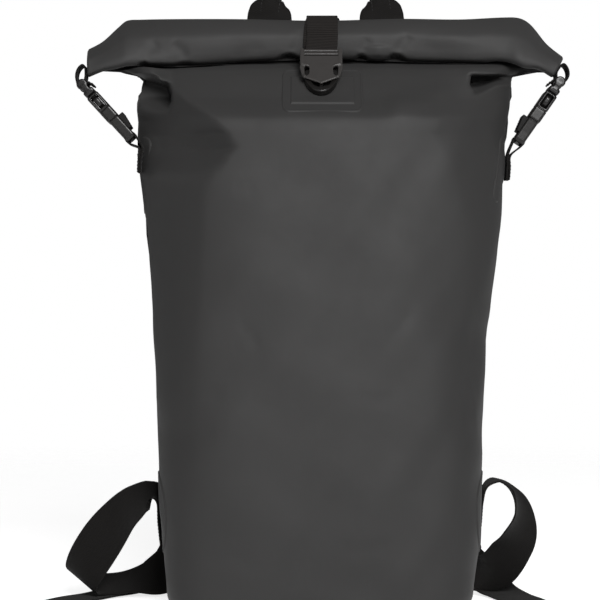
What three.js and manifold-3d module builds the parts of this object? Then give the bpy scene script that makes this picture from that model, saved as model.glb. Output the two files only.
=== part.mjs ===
// A roll-top waterproof backpack, standing on its base and rolled shut.
// Millimetres. X runs across the bag, -Y is its front, +Z is up, and the origin is the middle of the base.
import * as THREE from "three";
import { mergeVertices } from "three/addons/utils/BufferGeometryUtils.js";
import Module from "manifold-3d";

const wasm = await Module();
wasm.setup();

const table = (columns, rows) =>
  rows.map((row) => Object.fromEntries(columns.map((name, i) => [name, row[i]])));
const { lerp, degToRad, clamp } = THREE.MathUtils;
const vec = (x, y, z) => new THREE.Vector3(x, y, z);
const SIDES = [
  ["l", -1],
  ["r", 1],
];

// Driving dimensions
const WALL = 1.4; // coated fabric of the bag
const LAYER_GAP = 0.5; // between the two walls where the mouth is pressed flat
const SEAT = 0.4; // clearance of a piece that lies on another
const BASE_EDGE = 14; // rounding of the bottom edge
const PATCH = 0.7; // thickness of a welded patch
const CLOSURE_WEB = { width: 25, thick: 1.4 };
const CARRY_WEB = { width: 38, thick: 1.6 };
const RING_HALF = 20; // points round half of the bag
const END_CROWDING = 0.5; // how much closer these points lie at the sides of the bag

// Level sections of the body. A round of 2 is an ellipse, and a higher one is nearer to a rectangle.
const SECTIONS = table(
  ["z", "half", "shift", "front", "back", "frontRound", "backRound"],
  [
    [14, 126, -2, 70, 69, 4.2, 4.6],
    [70, 128.3, -2, 76, 71.3, 3.7, 4.6],
    [150, 130.4, -1.9, 79.6, 72, 3.4, 4.6],
    [231, 134.4, -1.4, 80.5, 72, 3.1, 4.4],
    [290, 139.5, 0.1, 80.3, 72, 3.0, 4.2],
    [340, 144.6, 0.4, 79.6, 70.5, 2.9, 3.9],
    [378, 147.5, 0.4, 76.6, 64.5, 2.8, 3.5],
    [393, 148.4, 0.6, 69.8, 60, 2.8, 3.3],
    [405, 149, 0.8, 58.5, 55, 2.8, 3.2],
  ],
);

// The neck, from the body up to the roll: the middle line of the front and back walls,
// and the shares of the mouth's full spread and of its drooping ends.
const NECK = table(
  ["yFront", "zFront", "yBack", "zBack", "spread", "droop"],
  [
    [-47.5, 417, 47, 418, 0.01, 0.08],
    [-38.5, 426, 36, 429, 0.03, 0.2],
    [-31, 431.5, 24, 437, 0.12, 0.35],
    [-19, 434.5, 12, 443, 0.38, 0.45],
    [-6, 438, 4.5, 446, 0.72, 0.56],
  ],
);

// The roll's axis from its left end to its right end: the buckled ends hang down and are squeezed.
const ROLL_AXIS = table(
  ["along", "x", "z", "lean", "halfHeight"],
  [
    [-194, -187.5, 435.3, 2, 10.2],
    [-179, -175, 441.2, 4, 11.3],
    [-164, -162, 448.4, 3, 15.8],
    [-150, -150, 452.4, 2, 16.4],
    [-114, -114, 452, 0, 16.2],
    [-66, -66, 453.5, 0, 15.2],
    [0, 0, 454, 0, 13.9],
    [63, 63, 453.8, 0, 15.3],
    [110, 110, 452.7, 0, 15.8],
    [150, 150, 453.8, 4, 17],
    [164, 163.5, 449.8, 10, 16.6],
    [178, 175.5, 441.6, 20, 11],
    [194, 188.5, 432.4, 30, 8.8],
  ],
);
const ROLL_MIDDLE = ROLL_AXIS.find((row) => row.along === 0);
const FLAT_HALF = ROLL_AXIS.at(-1).along; // half the mouth's width
const ROLL = { y: -13, halfThick: 10, pitch: 4.2, start: -20, end: 560, steps: 16 };

// Dents of the front wall, pressed inwards: middle, reach across and up, turn and depth.
const DENT_EDGE = 25; // depth in which they fade out towards the sides
const DENTS = table(
  ["x", "z", "across", "up", "turn", "depth"],
  [
    [-132, 412, 17, 13, -10, 11], // pocket under the left end of the roll
    [132, 417, 18, 9, 8, 7], // slot under the right end of the roll
    [-112, 372, 46, 24, -35, 8], // facet running down from the left pocket
    [118, 375, 30, 34, 25, 4], // shallow hollow on the right
  ],
);

// Colours and finishes
const FINISH = {
  shell: { color: 0x3b3a3b, roughness: 0.62, metalness: 0 },
  patch: { color: 0x383738, roughness: 0.55, metalness: 0 },
  webbing: { color: 0x1b1a1a, roughness: 0.8, metalness: 0 },
  plastic: { color: 0x2b2826, roughness: 0.4, metalness: 0 },
  padding: { color: 0x1d1c1d, roughness: 0.9, metalness: 0 },
};

const pack = new THREE.Group();
function piece(name, geometry, finish, parent = pack) {
  const mesh = new THREE.Mesh(geometry, new THREE.MeshStandardMaterial(FINISH[finish]));
  mesh.name = name;
  parent.add(mesh);
  return mesh;
}

// A column of a table at a value of its first column, on a smooth curve through the rows.
function curveAt(rows, key, column, value) {
  const last = rows.length - 1;
  const i = clamp(rows.findLastIndex((row) => row[key] <= value), 0, last - 1);
  const slope = (k) => {
    const [a, b] = [rows[Math.max(k - 1, 0)], rows[Math.min(k + 1, last)]];
    return (b[column] - a[column]) / (b[key] - a[key]);
  };
  const span = rows[i + 1][key] - rows[i][key];
  const t = clamp((value - rows[i][key]) / span, 0, 1);
  const rise = t * t * (3 - 2 * t);
  return (
    lerp(rows[i][column], rows[i + 1][column], rise) +
    slope(i) * span * t * (1 - t) ** 2 -
    slope(i + 1) * span * t * t * (1 - t)
  );
}

// Geometry from points and triangles, each a list of three.
function geometryOf(points, triangles) {
  const geometry = new THREE.BufferGeometry().setFromPoints(points);
  geometry.setIndex(triangles.flat());
  return geometry;
}

// The two triangles of each cell between two rings of points, by their first indices. From one cell
// on, the cells are divided the other way, so that the two faces of a thin sheet are divided alike.
function band(low, high, count, closed = true, turned = count) {
  const cells = [];
  for (let j = 0; j < (closed ? count : count - 1); j++) {
    const k = (j + 1) % count;
    if (j < turned) cells.push([low + j, low + k, high + k], [low + j, high + k, high + j]);
    else cells.push([low + j, low + k, high + j], [low + k, high + k, high + j]);
  }
  return cells;
}

// A solid through rings of equally many points, closed by a fan at each end.
function loft(rings, turned) {
  const count = rings[0].length;
  const points = rings.flat();
  const triangles = rings.slice(1).flatMap((_, i) => band(i * count, (i + 1) * count, count, true, turned));
  const middle = (ring) =>
    ring.reduce((sum, p) => sum.add(p), vec(0, 0, 0)).divideScalar(ring.length);
  const first = points.push(middle(rings[0])) - 1;
  const last = points.push(middle(rings.at(-1))) - 1;
  const top = (rings.length - 1) * count;
  for (let j = 0; j < count; j++) {
    const k = (j + 1) % count;
    triangles.push([first, k, j], [last, top + j, top + k]);
  }
  return facingOut(geometryOf(points, triangles));
}

// The same geometry with its triangles turned over if they face inwards.
function facingOut(geometry) {
  const p = geometry.getAttribute("position");
  const at = (i) => vec().fromBufferAttribute(p, geometry.index.array[i]);
  let volume = 0;
  for (let i = 0; i < geometry.index.count; i += 3) volume += at(i).dot(at(i + 1).cross(at(i + 2)));
  if (volume < 0) geometry.index.array.reverse();
  return geometry;
}

// Booleans on closed geometries
function solidOf(geometry) {
  const bare = new THREE.BufferGeometry();
  bare.setAttribute("position", geometry.getAttribute("position"));
  if (geometry.index) bare.setIndex(geometry.index);
  const merged = mergeVertices(bare, 1e-3);
  return new wasm.Manifold(
    new wasm.Mesh({
      numProp: 3,
      vertProperties: merged.attributes.position.array,
      triVerts: new Uint32Array(merged.index.array),
    }),
  );
}
function geometryFrom(solid) {
  const mesh = solid.getMesh();
  const geometry = new THREE.BufferGeometry();
  geometry.setAttribute("position", new THREE.BufferAttribute(mesh.vertProperties, 3));
  return geometry.setIndex(new THREE.BufferAttribute(mesh.triVerts, 1));
}
const joined = (...parts) => parts.map(solidOf).reduce((a, b) => a.add(b));
const cut = (solid, ...tools) => tools.map(solidOf).reduce((a, b) => a.subtract(b), solid);

// The bag: one fabric wall from the base up into the roll

// Shares of the way round half of the bag, from its left side to its right side.
const SHARES = Array.from({ length: RING_HALF + 1 }, (_, i) => {
  const q = i / RING_HALF;
  return q - (END_CROWDING * Math.sin(2 * Math.PI * q)) / (2 * Math.PI);
});

// Half of a level section, as points at equal shares of its length: face is -1 in front and 1 behind.
function halfSection({ half, shift }, depth, round, face) {
  const fine = Array.from({ length: 361 }, (_, i) => {
    const angle = Math.PI * (1 - i / 360);
    const power = (v) => Math.sign(v) * Math.abs(v) ** (2 / round);
    return new THREE.Vector2(shift + half * power(Math.cos(angle)), face * depth * power(Math.sin(angle)));
  });
  const length = [0];
  for (let i = 1; i < fine.length; i++) length.push(length[i - 1] + fine[i].distanceTo(fine[i - 1]));
  return SHARES.map((share) => {
    const want = share * length.at(-1);
    const i = clamp(length.findIndex((l) => l >= want), 1, fine.length - 1);
    const t = (want - length[i - 1]) / (length[i] - length[i - 1]);
    return fine[i - 1].clone().lerp(fine[i], t);
  });
}

// A whole ring from its front half, left to right, and its back half, right to left.
const ringOf = (front, back) => [...front, ...back.slice(1, -1).reverse()];

function bodyRing(section, inset, z) {
  const grown = { ...section, half: section.half - inset };
  const level = (p) => vec(p.x, p.y, z);
  return ringOf(
    halfSection(grown, section.front - inset, section.frontRound, -1).map(level),
    halfSection(grown, section.back - inset, section.backRound, 1).map(level),
  );
}

// Where a share of the mouth lies on the roll's axis.
function axisAt(share) {
  const along = (share - 0.5) * 2 * FLAT_HALF;
  const get = (column) => curveAt(ROLL_AXIS, "along", column, along);
  const lean = degToRad(get("lean"));
  return {
    x: get("x"),
    z: get("z"),
    up: vec(Math.sign(along) * Math.sin(lean), 0, Math.cos(lean)),
    squeeze: get("halfHeight") / ROLL_MIDDLE.halfHeight,
  };
}
const axes = SHARES.map(axisAt);

// A point of the rolled mouth: turn is the angle round the roll, and off the height over its middle layer.
function rollPoint(axis, turn, off) {
  const angle = degToRad(turn);
  const shrink = (ROLL.pitch * (180 - turn)) / 360;
  const [thick, high] = [ROLL.halfThick + shrink, ROLL_MIDDLE.halfHeight + shrink];
  const normal = new THREE.Vector2(Math.cos(angle) / thick, Math.sin(angle) / high).normalize();
  const out = thick * Math.cos(angle) + off * normal.x;
  const rise = (high * Math.sin(angle) + off * normal.y) * axis.squeeze;
  return vec(axis.x, ROLL.y + out, axis.z).addScaledVector(axis.up, rise);
}

// At the two side folds the layers meet, so the wall turns round the edge there.
function rollRing(turn, off, edgeInset) {
  const layer = (sign) =>
    axes.map((axis, i) => {
      const end = i === 0 || i === RING_HALF;
      const p = rollPoint(axis, turn, end ? 0 : sign * off);
      if (!end) return p;
      const next = rollPoint(axes[i === 0 ? 1 : RING_HALF - 1], turn, 0);
      return p.lerp(next, edgeInset / p.distanceTo(next));
    });
  return ringOf(layer(-1), layer(1));
}

// A ring of the neck, between the top section of the body and the flat mouth.
function neckRing(row) {
  const top = SECTIONS.at(-1);
  const thinnest = WALL + LAYER_GAP / 2;
  const yMiddle = lerp(0, ROLL.y + ROLL.halfThick, row.spread);
  const zMiddle = (row.zFront + row.zBack) / 2;
  const half = (depth, round, face, y, z) =>
    halfSection(top, depth, round, face).map((p, i) => {
      const fullness = Math.abs(p.y) / depth;
      const end = i === 0 || i === RING_HALF;
      const out = end ? 0 : face * Math.max(thinnest, Math.abs(y - yMiddle) * fullness);
      const droop = (axes[i].z - ROLL_MIDDLE.z) * row.droop;
      const rise = lerp(zMiddle, z, fullness) + droop;
      return vec(lerp(p.x, axes[i].x, row.spread), yMiddle + out, rise);
    });
  return ringOf(
    half(top.front, top.frontRound, -1, row.yFront, row.zFront),
    half(top.back, top.backRound, 1, row.yBack, row.zBack),
  );
}

// How far a point of the front wall is pressed in: not at all along the sides of the bag.
function dentDepth(p) {
  const share = clamp(-p.y / DENT_EDGE, 0, 1);
  return share * DENTS.reduce((sum, dent) => {
    const turn = degToRad(dent.turn);
    const [dx, dz] = [p.x - dent.x, p.z - dent.z];
    const across = (dx * Math.cos(turn) + dz * Math.sin(turn)) / dent.across;
    const up = (dz * Math.cos(turn) - dx * Math.sin(turn)) / dent.up;
    return sum + dent.depth * Math.exp(-across * across - up * up);
  }, 0);
}

// Outward normals of a grid of rings, from its neighbouring points.
function gridNormals(rings) {
  return rings.map((ring, i) =>
    ring.map((_, j) => {
      const count = ring.length;
      const round = rings[i][(j + 1) % count].clone().sub(rings[i][(j + count - 1) % count]);
      const up = rings[Math.min(i + 1, rings.length - 1)][j].clone().sub(rings[Math.max(i - 1, 0)][j]);
      return round.cross(up).normalize();
    }),
  );
}

function softRings() {
  const foot = SECTIONS[0];
  const base = [0, 30, 60].map((angle) => {
    const a = degToRad(angle);
    return bodyRing(foot, BASE_EDGE * (1 - Math.sin(a)), BASE_EDGE * (1 - Math.cos(a)));
  });
  const soft = [...base, ...SECTIONS.map((s) => bodyRing(s, 0, s.z)), ...NECK.map(neckRing)];
  const facing = gridNormals(soft);
  soft.forEach((ring, i) => ring.forEach((p, j) => p.addScaledVector(facing[i][j], -dentDepth(p))));
  return soft;
}
const wallRings = softRings();
const wallNormals = gridNormals(wallRings);

function bagShell() {
  const { start, end, steps } = ROLL;
  const turns = Array.from({ length: steps + 1 }, (_, i) => lerp(start, end, i / steps));
  const reach = LAYER_GAP / 2;
  const outer = [...wallRings, ...turns.map((turn) => rollRing(turn, reach + WALL, 0))];
  const normals = gridNormals(outer);
  const inner = [
    ...wallRings.map((ring, i) =>
      ring.map((p, j) => {
        const q = p.clone().addScaledVector(normals[i][j], -WALL);
        return i === 0 ? q.setZ(WALL) : q;
      }),
    ),
    ...turns.map((turn) => rollRing(turn, reach, WALL)),
  ];
  const count = outer[0].length;
  const rows = outer.length;
  const points = [...outer.flat(), ...inner.flat()];
  const within = rows * count;
  const triangles = [];
  for (let i = 0; i < rows - 1; i++) {
    const rolled = i >= wallRings.length - 1;
    const cells = band(i * count, (i + 1) * count, count, true, rolled ? RING_HALF : count);
    triangles.push(...cells, ...cells.map(([a, b, c]) => [within + a, within + c, within + b]));
  }
  triangles.push(...band((rows - 1) * count, within + (rows - 1) * count, count));
  const under = points.push(vec(0, 0, 0)) - 1;
  const floor = points.push(vec(0, 0, WALL)) - 1;
  for (let j = 0; j < count; j++) {
    const k = (j + 1) % count;
    triangles.push([under, k, j], [floor, within + j, within + k]);
  }
  return geometryOf(points, triangles);
}
const shell = piece("bag_shell", bagShell(), "shell");

// Where a line from outside first meets the bag.
const ray = new THREE.Raycaster();
function onShell(from, direction) {
  ray.set(from, direction.clone().normalize());
  return ray.intersectObject(shell)[0].point;
}
const wallX = (side, y, z) => onShell(vec(side * 300, y, z), vec(-side, 0, 0)).x;
const backY = (x, z) => onShell(vec(x, 300, z), vec(0, -1, 0)).y;
const roofZ = (x, y) => onShell(vec(x, y, 600), vec(0, 0, -1)).z;

// Welded patches, laid on the wall

// The wall's outside moved out by a height, as a closed solid.
function grown(height) {
  const raised = (p, i, j) => p.clone().addScaledVector(wallNormals[i][j], height);
  return solidOf(loft(wallRings.map((ring, i) => ring.map((p, j) => raised(p, i, j)))));
}

// A prism of the rounded outline of a patch, along its own third axis.
function patchPrism({ width, height, corner }, inset, depth) {
  const [w, h, r] = [width / 2 - inset, height / 2 - inset, Math.max(corner - inset, 1)];
  const shape = new THREE.Shape();
  const arcs = [[1, 1], [-1, 1], [-1, -1], [1, -1]];
  arcs.forEach(([sx, sy], i) =>
    shape.absarc(sx * (w - r), sy * (h - r), r, (i * Math.PI) / 2, ((i + 1) * Math.PI) / 2, false),
  );
  return new THREE.ExtrudeGeometry(shape, { depth, bevelEnabled: false, curveSegments: 3 });
}

// One layer of a patch: the part of the wall's cover that lies inside the prism.
const layer = (prism, height) => grown(SEAT + height).subtract(grown(SEAT)).intersect(solidOf(prism));

const FRONT_PATCH = { width: 63.5, height: 36, corner: 6, z: 412.6, depth: 90, border: 7.6 };
{
  const prism = (inset) =>
    patchPrism(FRONT_PATCH, inset, FRONT_PATCH.depth).rotateX(Math.PI / 2).translate(0, 0, FRONT_PATCH.z);
  const raised = layer(prism(FRONT_PATCH.border), 2 * PATCH);
  piece("front_patch", geometryFrom(layer(prism(0), PATCH).add(raised)), "patch");
}

const SIDE_PATCH = { width: 60, height: 67, corner: 9, y: -5, z: 356.5, depth: 200 };
const LOWER_PATCH = { width: 92, height: 66, corner: 30, y: 0, z: 78, depth: 200 };
for (const [tag, side] of SIDES) {
  for (const [name, size] of [["side_patch", SIDE_PATCH], ["lower_patch", LOWER_PATCH]]) {
    const prism = patchPrism(size, 0, size.depth)
      .rotateX(Math.PI / 2)
      .rotateZ((side * Math.PI) / 2)
      .translate(0, size.y, size.z);
    piece(`${name}_${tag}`, geometryFrom(layer(prism, PATCH)), "patch");
  }
}

// Webbing and padded straps

const FLAT_EDGE = [[-1, -1], [1, -1], [1, 1], [-1, 1]];
const SOFT_SIDE = [[1, -0.35], [1, 0.35], [0.8, 1]];
const SOFT_EDGE = [[0.8, -1], ...SOFT_SIDE, [-0.8, 1], [-1, 0.35], [-1, -0.35], [-0.8, -1]];

// A band along a route. A row gives its middle, the direction across it and, where they change, its sizes.
function ribbon(route, web, steps, edge = FLAT_EDGE) {
  const curve = (pick) => new THREE.CatmullRomCurve3(route.map(pick), false, "centripetal");
  const path = curve((row) => row.at);
  const across = curve((row) => row.across);
  const sizes = curve((row) => vec(row.width ?? web.width, row.thick ?? web.thick, 0));
  const count = (route.length - 1) * steps;
  const rings = Array.from({ length: count + 1 }, (_, i) => {
    const t = i / count;
    const along = path.getTangent(t);
    const width = across.getPoint(t);
    width.addScaledVector(along, -width.dot(along)).normalize();
    const face = along.clone().cross(width);
    const size = sizes.getPoint(t);
    return edge.map(([u, v]) =>
      path.getPoint(t).addScaledVector(width, (u * size.x) / 2).addScaledVector(face, (v * size.y) / 2),
    );
  });
  return loft(rings, edge.length / 2);
}
const stop = (at, across) => ({ at, across });
function routeOf(rows) {
  const named = table(["x", "y", "z", "acrossX", "acrossY", "acrossZ"], rows);
  return named.map((r) => stop(vec(r.x, r.y, r.z), vec(r.acrossX, r.acrossY, r.acrossZ)));
}

// A frame on a buckle: u across it, v along it and n out of its face.
class BuckleFrame {
  constructor(origin, along, across) {
    this.origin = origin;
    this.v = along.clone().normalize();
    this.u = across.clone().addScaledVector(this.v, -across.dot(this.v)).normalize();
    this.n = this.u.clone().cross(this.v);
  }
  point(v, n) {
    return this.origin.clone().addScaledVector(this.v, v).addScaledVector(this.n, n);
  }
  group() {
    const group = new THREE.Group();
    group.position.copy(this.origin);
    group.quaternion.setFromRotationMatrix(new THREE.Matrix4().makeBasis(this.u, this.v, this.n));
    pack.add(group);
    return group;
  }
}
const points2 = (rows) => rows.map(([u, v]) => new THREE.Vector2(u, v));
function mirrored(rows) {
  const others = rows.filter(([u]) => u !== 0).reverse();
  return [...rows, ...others.map(([u, v]) => [-u, v])];
}

// A plate with an outline in u and v, between two heights in n.
function slab(outline, low, high) {
  const shape = new THREE.Shape(points2(outline));
  return new THREE.ExtrudeGeometry(shape, { depth: high - low, bevelEnabled: false }).translate(0, 0, low);
}
const block = (u0, u1, v0, v1, n0, n1) =>
  new THREE.BoxGeometry(u1 - u0, v1 - v0, n1 - n0).translate((u0 + u1) / 2, (v0 + v1) / 2, (n0 + n1) / 2);
const rod = (radius, halfLength, v, n) =>
  new THREE.CylinderGeometry(radius, radius, 2 * halfLength, 10).rotateZ(Math.PI / 2).translate(0, v, n);

// Front buckle: a shield-shaped hook over a ring on the front patch

// u across, v along from its upper end, n out of its face
const HOOK = {
  half: 16.4,
  inner: 13.6, // half width between the posts
  top: -4,
  slotTop: -1.3,
  slotEnd: -0.5,
  ladder: 3.5, // end of the ladder, where the shield begins
  posts: 12.6,
  tongue: 9, // half width between the windows
  windowTop: 14.6,
  windowEnd: 22,
  tip: 31,
  back: -2.6,
  plateLow: 4.8,
  plateHigh: 7.4,
  bar: 1.8, // radius of the bar that the strap goes round
  barV: 7.9,
};
const RING = { radius: 13.8, stretch: 1.12, top: 16, middle: 26, low: -1.5, high: 4.3, rim: 4.4, rib: 1.4 };
const frontFrame = new BuckleFrame(vec(-1, -36.5, 438.4), vec(0, -0.629, -0.777), vec(-1, 0, 0));
{
  const group = frontFrame.group();
  const { half, inner, plateLow, plateHigh } = HOOK;
  const shield = mirrored([
    [half, HOOK.ladder],
    [half, 13],
    [half - 1.4, 14],
    [half + 0.4, 16.4],
    [half + 0.4, 19.8],
    [half - 2, 25.6],
    [half - 3.6, 26.5],
    [half - 4.8, 24.4],
    [0, HOOK.tip],
  ]);
  const body = joined(
    slab(shield, plateLow, plateHigh),
    block(-half, half, HOOK.top, HOOK.ladder, plateLow, plateHigh),
    block(inner, half, HOOK.top, HOOK.posts, HOOK.back, plateHigh),
    block(-half, -inner, HOOK.top, HOOK.posts, HOOK.back, plateHigh),
    rod(HOOK.bar, inner + 0.4, HOOK.barV, 0),
  );
  const slot = block(-inner, inner, HOOK.slotTop, HOOK.slotEnd, plateLow - 1, plateHigh + 1);
  const windows = [1, -1].map((s) => {
    const [from, to] = [s * HOOK.tongue, s * HOOK.inner].sort((a, b) => a - b);
    return block(from, to, HOOK.windowTop, HOOK.windowEnd, plateLow - 1, plateHigh + 1);
  });
  piece("front_buckle_hook", geometryFrom(cut(body, slot, ...windows)), "plastic", group);

  const { radius, stretch, top, middle, low, high, rim, rib } = RING;
  const arc = (reach, from, to, steps) =>
    Array.from({ length: steps + 1 }, (_, i) => {
      const angle = degToRad(lerp(from, to, i / steps));
      return [reach * Math.cos(angle), middle + reach * stretch * Math.sin(angle)];
    });
  const outline = [[-radius, top], [radius, top], ...arc(radius, 0, 180, 12)];
  const opening = (from, to, edge) =>
    slab([[edge, middle], ...arc(radius - rim, from, to, 5)], low - 1, high + 1);
  const ring = cut(solidOf(slab(outline, low, high)), opening(4, 80, rib), opening(100, 176, -rib));
  piece("front_buckle_ring", geometryFrom(ring), "plastic", group);
}

// Closure strap: from the back over the roll to the hook's bar and back over the roll as a loose end

{
  const lift = LAYER_GAP / 2 + WALL + SEAT + CLOSURE_WEB.thick / 2;
  const across = vec(1, 0, 0);
  const x = frontFrame.origin.x;
  const over = (turn, extra) => stop(rollPoint(axes[RING_HALF / 2], turn, lift + extra).setX(x), across);
  const roof = (y, extra) => stop(vec(x, y + 1.2, roofZ(x, y) + lift + extra), across);
  const atBar = (v, n) => stop(frontFrame.point(v, n), across);
  const wrap = HOOK.bar + SEAT + CLOSURE_WEB.thick / 2;
  const loose = CLOSURE_WEB.thick + 0.7;
  const sewnZ = 394;
  const route = [
    stop(vec(x, backY(x, sewnZ) + lift - SEAT, sewnZ), across),
    ...[52, 44, 34, 22].map((y) => roof(y, 0)),
    roof(10, 1),
    ...[12, 45, 75, 105, 140, 175].map((turn) => over(turn, 0.2)),
    atBar(-1, -wrap - 0.4),
    atBar(HOOK.barV - 1, -wrap),
    atBar(HOOK.barV + wrap * 0.8, -wrap * 0.6),
    atBar(HOOK.barV + wrap, 0),
    atBar(HOOK.barV + wrap * 0.7, wrap * 0.7),
    atBar(HOOK.barV - 1, wrap),
    atBar(-1, wrap - 0.3),
    ...[175, 140, 105, 75, 45, 15].map((turn) => over(turn, 0.2 + loose)),
    roof(12, 3.6),
  ];
  piece("closure_strap", ribbon(route, CLOSURE_WEB, 2), "webbing");
}

// Side buckles, from the ends of the roll down to the sides of the bag

// u across, v along from the upper bar, n towards the bag
const SIDE_BUCKLE = {
  half: 16.4,
  inner: 13.6, // half width between the posts
  bar: 1.8, // radius of the upper bar
  knob: 4.4, // radius of the upper ends
  collar: 6.4, // of the male half
  mouth: 11, // of the female half
  windowTop: 13,
  windowEnd: 24.5,
  waist: 37,
  cavity: 41,
  slot: 48.5,
  slotHalf: 13.1,
  endBar: 56.5,
  endHalf: 2.2,
};
const HALF_THICK = { post: 2.8, collar: 4, prong: 2.2, mouth: 4.4, cavity: 2.7, window: 3, tail: 3.9 };
const GRIP = { top: 37.5, end: 47.6, high: 7.6, half: 13.5 }; // plate on the face towards the bag
const BUCKLES = {
  l: { from: vec(-191.3, -9, 418.7), along: vec(0.674, 0, -0.739), sewnLow: 349, sewnHigh: 368 },
  r: { from: vec(189.4, -9, 420.8), along: vec(-0.569, 0, -0.822), sewnLow: 343, sewnHigh: 362 },
};

// The side straps between the buckles and the end of the roll, as x and z
const STRAP_ROWS = {
  l: [
    [-188.9, 425.6],
    [-188.9, 429.6],
    [-189.5, 433.2],
    [-191.3, 434.6],
    [-193.7, 433],
    [-195.7, 429.6],
    [-196.4, 425.6],
    [-195.9, 421.8],
  ],
  r: [
    [187.1, 428.4],
    [189.1, 431.9],
    [191.2, 434.8],
    [193, 435.2],
    [194.9, 433.4],
    [196.4, 430],
    [196.6, 426.4],
    [195.2, 423],
  ],
};

function sideBuckle(tag, side) {
  const { from, along, sewnLow, sewnHigh } = BUCKLES[tag];
  const frame = new BuckleFrame(from, along, vec(0, side, 0));
  const group = frame.group();
  const { half, inner, bar, knob, collar, mouth, waist, slot, slotHalf, endBar, endHalf } = SIDE_BUCKLE;
  const even = (u0, u1, v0, v1, thick) => block(u0, u1, v0, v1, -thick, thick);
  const disc = (u) => rod(knob, (half - inner) / 2, 0, 0).translate(u, 0, 0);
  const prong = [
    [half - 1, mouth - 3],
    [12.6, mouth + 1.2],
    [12.4, 13.6],
    [15.8, 15.4],
    [15, 22],
    [10, 26.5],
    [8.6, 22.5],
    [8.6, mouth + 3],
    [1.8, mouth + 3],
    [1.8, 28],
  ];
  const male = joined(
    even(-half, half, collar, mouth - SEAT, HALF_THICK.collar),
    even(inner, half, 0, collar + 1, HALF_THICK.post),
    even(-half, -inner, 0, collar + 1, HALF_THICK.post),
    disc((inner + half) / 2),
    disc(-(inner + half) / 2),
    rod(bar, inner + 0.4, 0, 0),
    slab(mirrored(prong).reverse(), -HALF_THICK.prong, HALF_THICK.prong),
  );
  piece(`side_buckle_male_${tag}`, geometryFrom(male), "plastic", group);

  const end = endBar + endHalf;
  const tail = mirrored([
    [half - 1, waist - 1],
    [half - 1.6, slot],
    [half - 1.6, endBar],
    [half - 2.8, end],
  ]);
  const body = joined(
    even(-half, half, mouth, waist, HALF_THICK.mouth),
    slab(tail, -HALF_THICK.tail, HALF_THICK.tail),
    block(-GRIP.half, GRIP.half, GRIP.top, GRIP.end, HALF_THICK.cavity, GRIP.high),
  );
  const beyond = 10; // past the faces that are cut
  const inside = even(-slotHalf - 1, slotHalf + 1, mouth - 1, SIDE_BUCKLE.cavity, HALF_THICK.cavity);
  const { windowTop, windowEnd } = SIDE_BUCKLE;
  const windows = even(-half - 1, half + 1, windowTop, windowEnd, HALF_THICK.window);
  const opening = even(-slotHalf, slotHalf, slot, endBar - endHalf, beyond);
  const clear = (low, high) => block(-slotHalf, slotHalf, slot, end + 1, low, high);
  const female = cut(body, inside, windows, opening, clear(-beyond, -endHalf), clear(endHalf, beyond));
  piece(`side_buckle_female_${tag}`, geometryFrom(female), "plastic", group);

  const across = vec(0, 1, 0);
  const at = (v, n) => stop(frame.point(v, n), across);
  const strap = [
    at(6.6, 6.4),
    at(4.2, 5.8),
    at(2.2, 5),
    at(-1.2, 4),
    ...STRAP_ROWS[tag].map(([x, z]) => stop(vec(x, from.y, z), across)),
    at(-1.8, -3),
    at(0.8, -3.1),
    at(2.7, -2),
    at(3.4, 0.2),
  ];
  piece(`side_strap_${tag}`, ribbon(strap, CLOSURE_WEB, 2), "webbing");

  const wrap = endHalf * Math.SQRT2 + SEAT + CLOSURE_WEB.thick / 2;
  const step = CLOSURE_WEB.thick + SEAT;
  const sewn = (z, layer) => {
    const out = 2 * SEAT + PATCH + CLOSURE_WEB.thick / 2 + layer * step;
    return stop(vec(wallX(side, 0, z) + side * out, from.y, z), across);
  };
  const anchor = [
    sewn(sewnLow, 1),
    sewn((sewnLow + sewnHigh) / 2, 1),
    sewn(sewnHigh, 1),
    at(endBar + wrap * 0.8, -wrap * 0.9),
    at(endBar, -wrap),
    at(endBar - wrap * 0.7, -wrap * 0.7),
    at(endBar - wrap, 0),
    at(endBar - wrap * 0.7, wrap * 0.7),
    at(endBar, wrap),
    at(endBar + 2.4, wrap * 0.86),
    sewn(sewnHigh + 1, 0),
    sewn((sewnLow + sewnHigh) / 2, 0),
    sewn(sewnLow, 0),
  ];
  piece(`side_anchor_${tag}`, ribbon(anchor, CLOSURE_WEB, 2), "webbing");
}
for (const [tag, side] of SIDES) sideBuckle(tag, side);

// Grab handle: webbing that is flat at its sewn ends and folded double in the grip

{
  const HANDLE = { middle: 3, spread: 45.5, top: 514, flat: 37, folded: 19, foldedThick: 4.5, y: 8 };
  const lift = 2 * SEAT + CARRY_WEB.thick / 2;
  const leg = (side) => {
    const x = HANDLE.middle + side * HANDLE.spread;
    const across = vec(-side, 0, 0);
    const roof = (y) => stop(vec(x, y + lift * 0.5, roofZ(x, y) + lift), across);
    const rise = (z, inset, turn, width, thick) => {
      const angle = degToRad(turn);
      const turned = vec(-side * Math.cos(angle), Math.sin(angle), 0);
      return { ...stop(vec(x - side * inset, HANDLE.y, z), turned), width, thick };
    };
    return [
      roof(48),
      roof(36),
      roof(24),
      stop(vec(x, HANDLE.y + 4, 453), across),
      rise(468, 0, 0, HANDLE.flat, CARRY_WEB.thick),
      rise(478, 0.2, 0, 35.4, 1.8),
      rise(484, 0.6, 6, 31, 2.6),
      rise(489, 1.2, 18, HANDLE.folded + 2, 4),
      rise(501, 8, 50, HANDLE.folded, HANDLE.foldedThick),
      rise(510, 22, 80, HANDLE.folded, HANDLE.foldedThick),
    ];
  };
  const crown = {
    ...stop(vec(HANDLE.middle, HANDLE.y, HANDLE.top), vec(0, 1, 0)),
    width: HANDLE.folded,
    thick: HANDLE.foldedThick,
  };
  const route = [...leg(-1), crown, ...leg(1).reverse()];
  piece("grab_handle", ribbon(route, CARRY_WEB, 2), "webbing");
}

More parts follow.
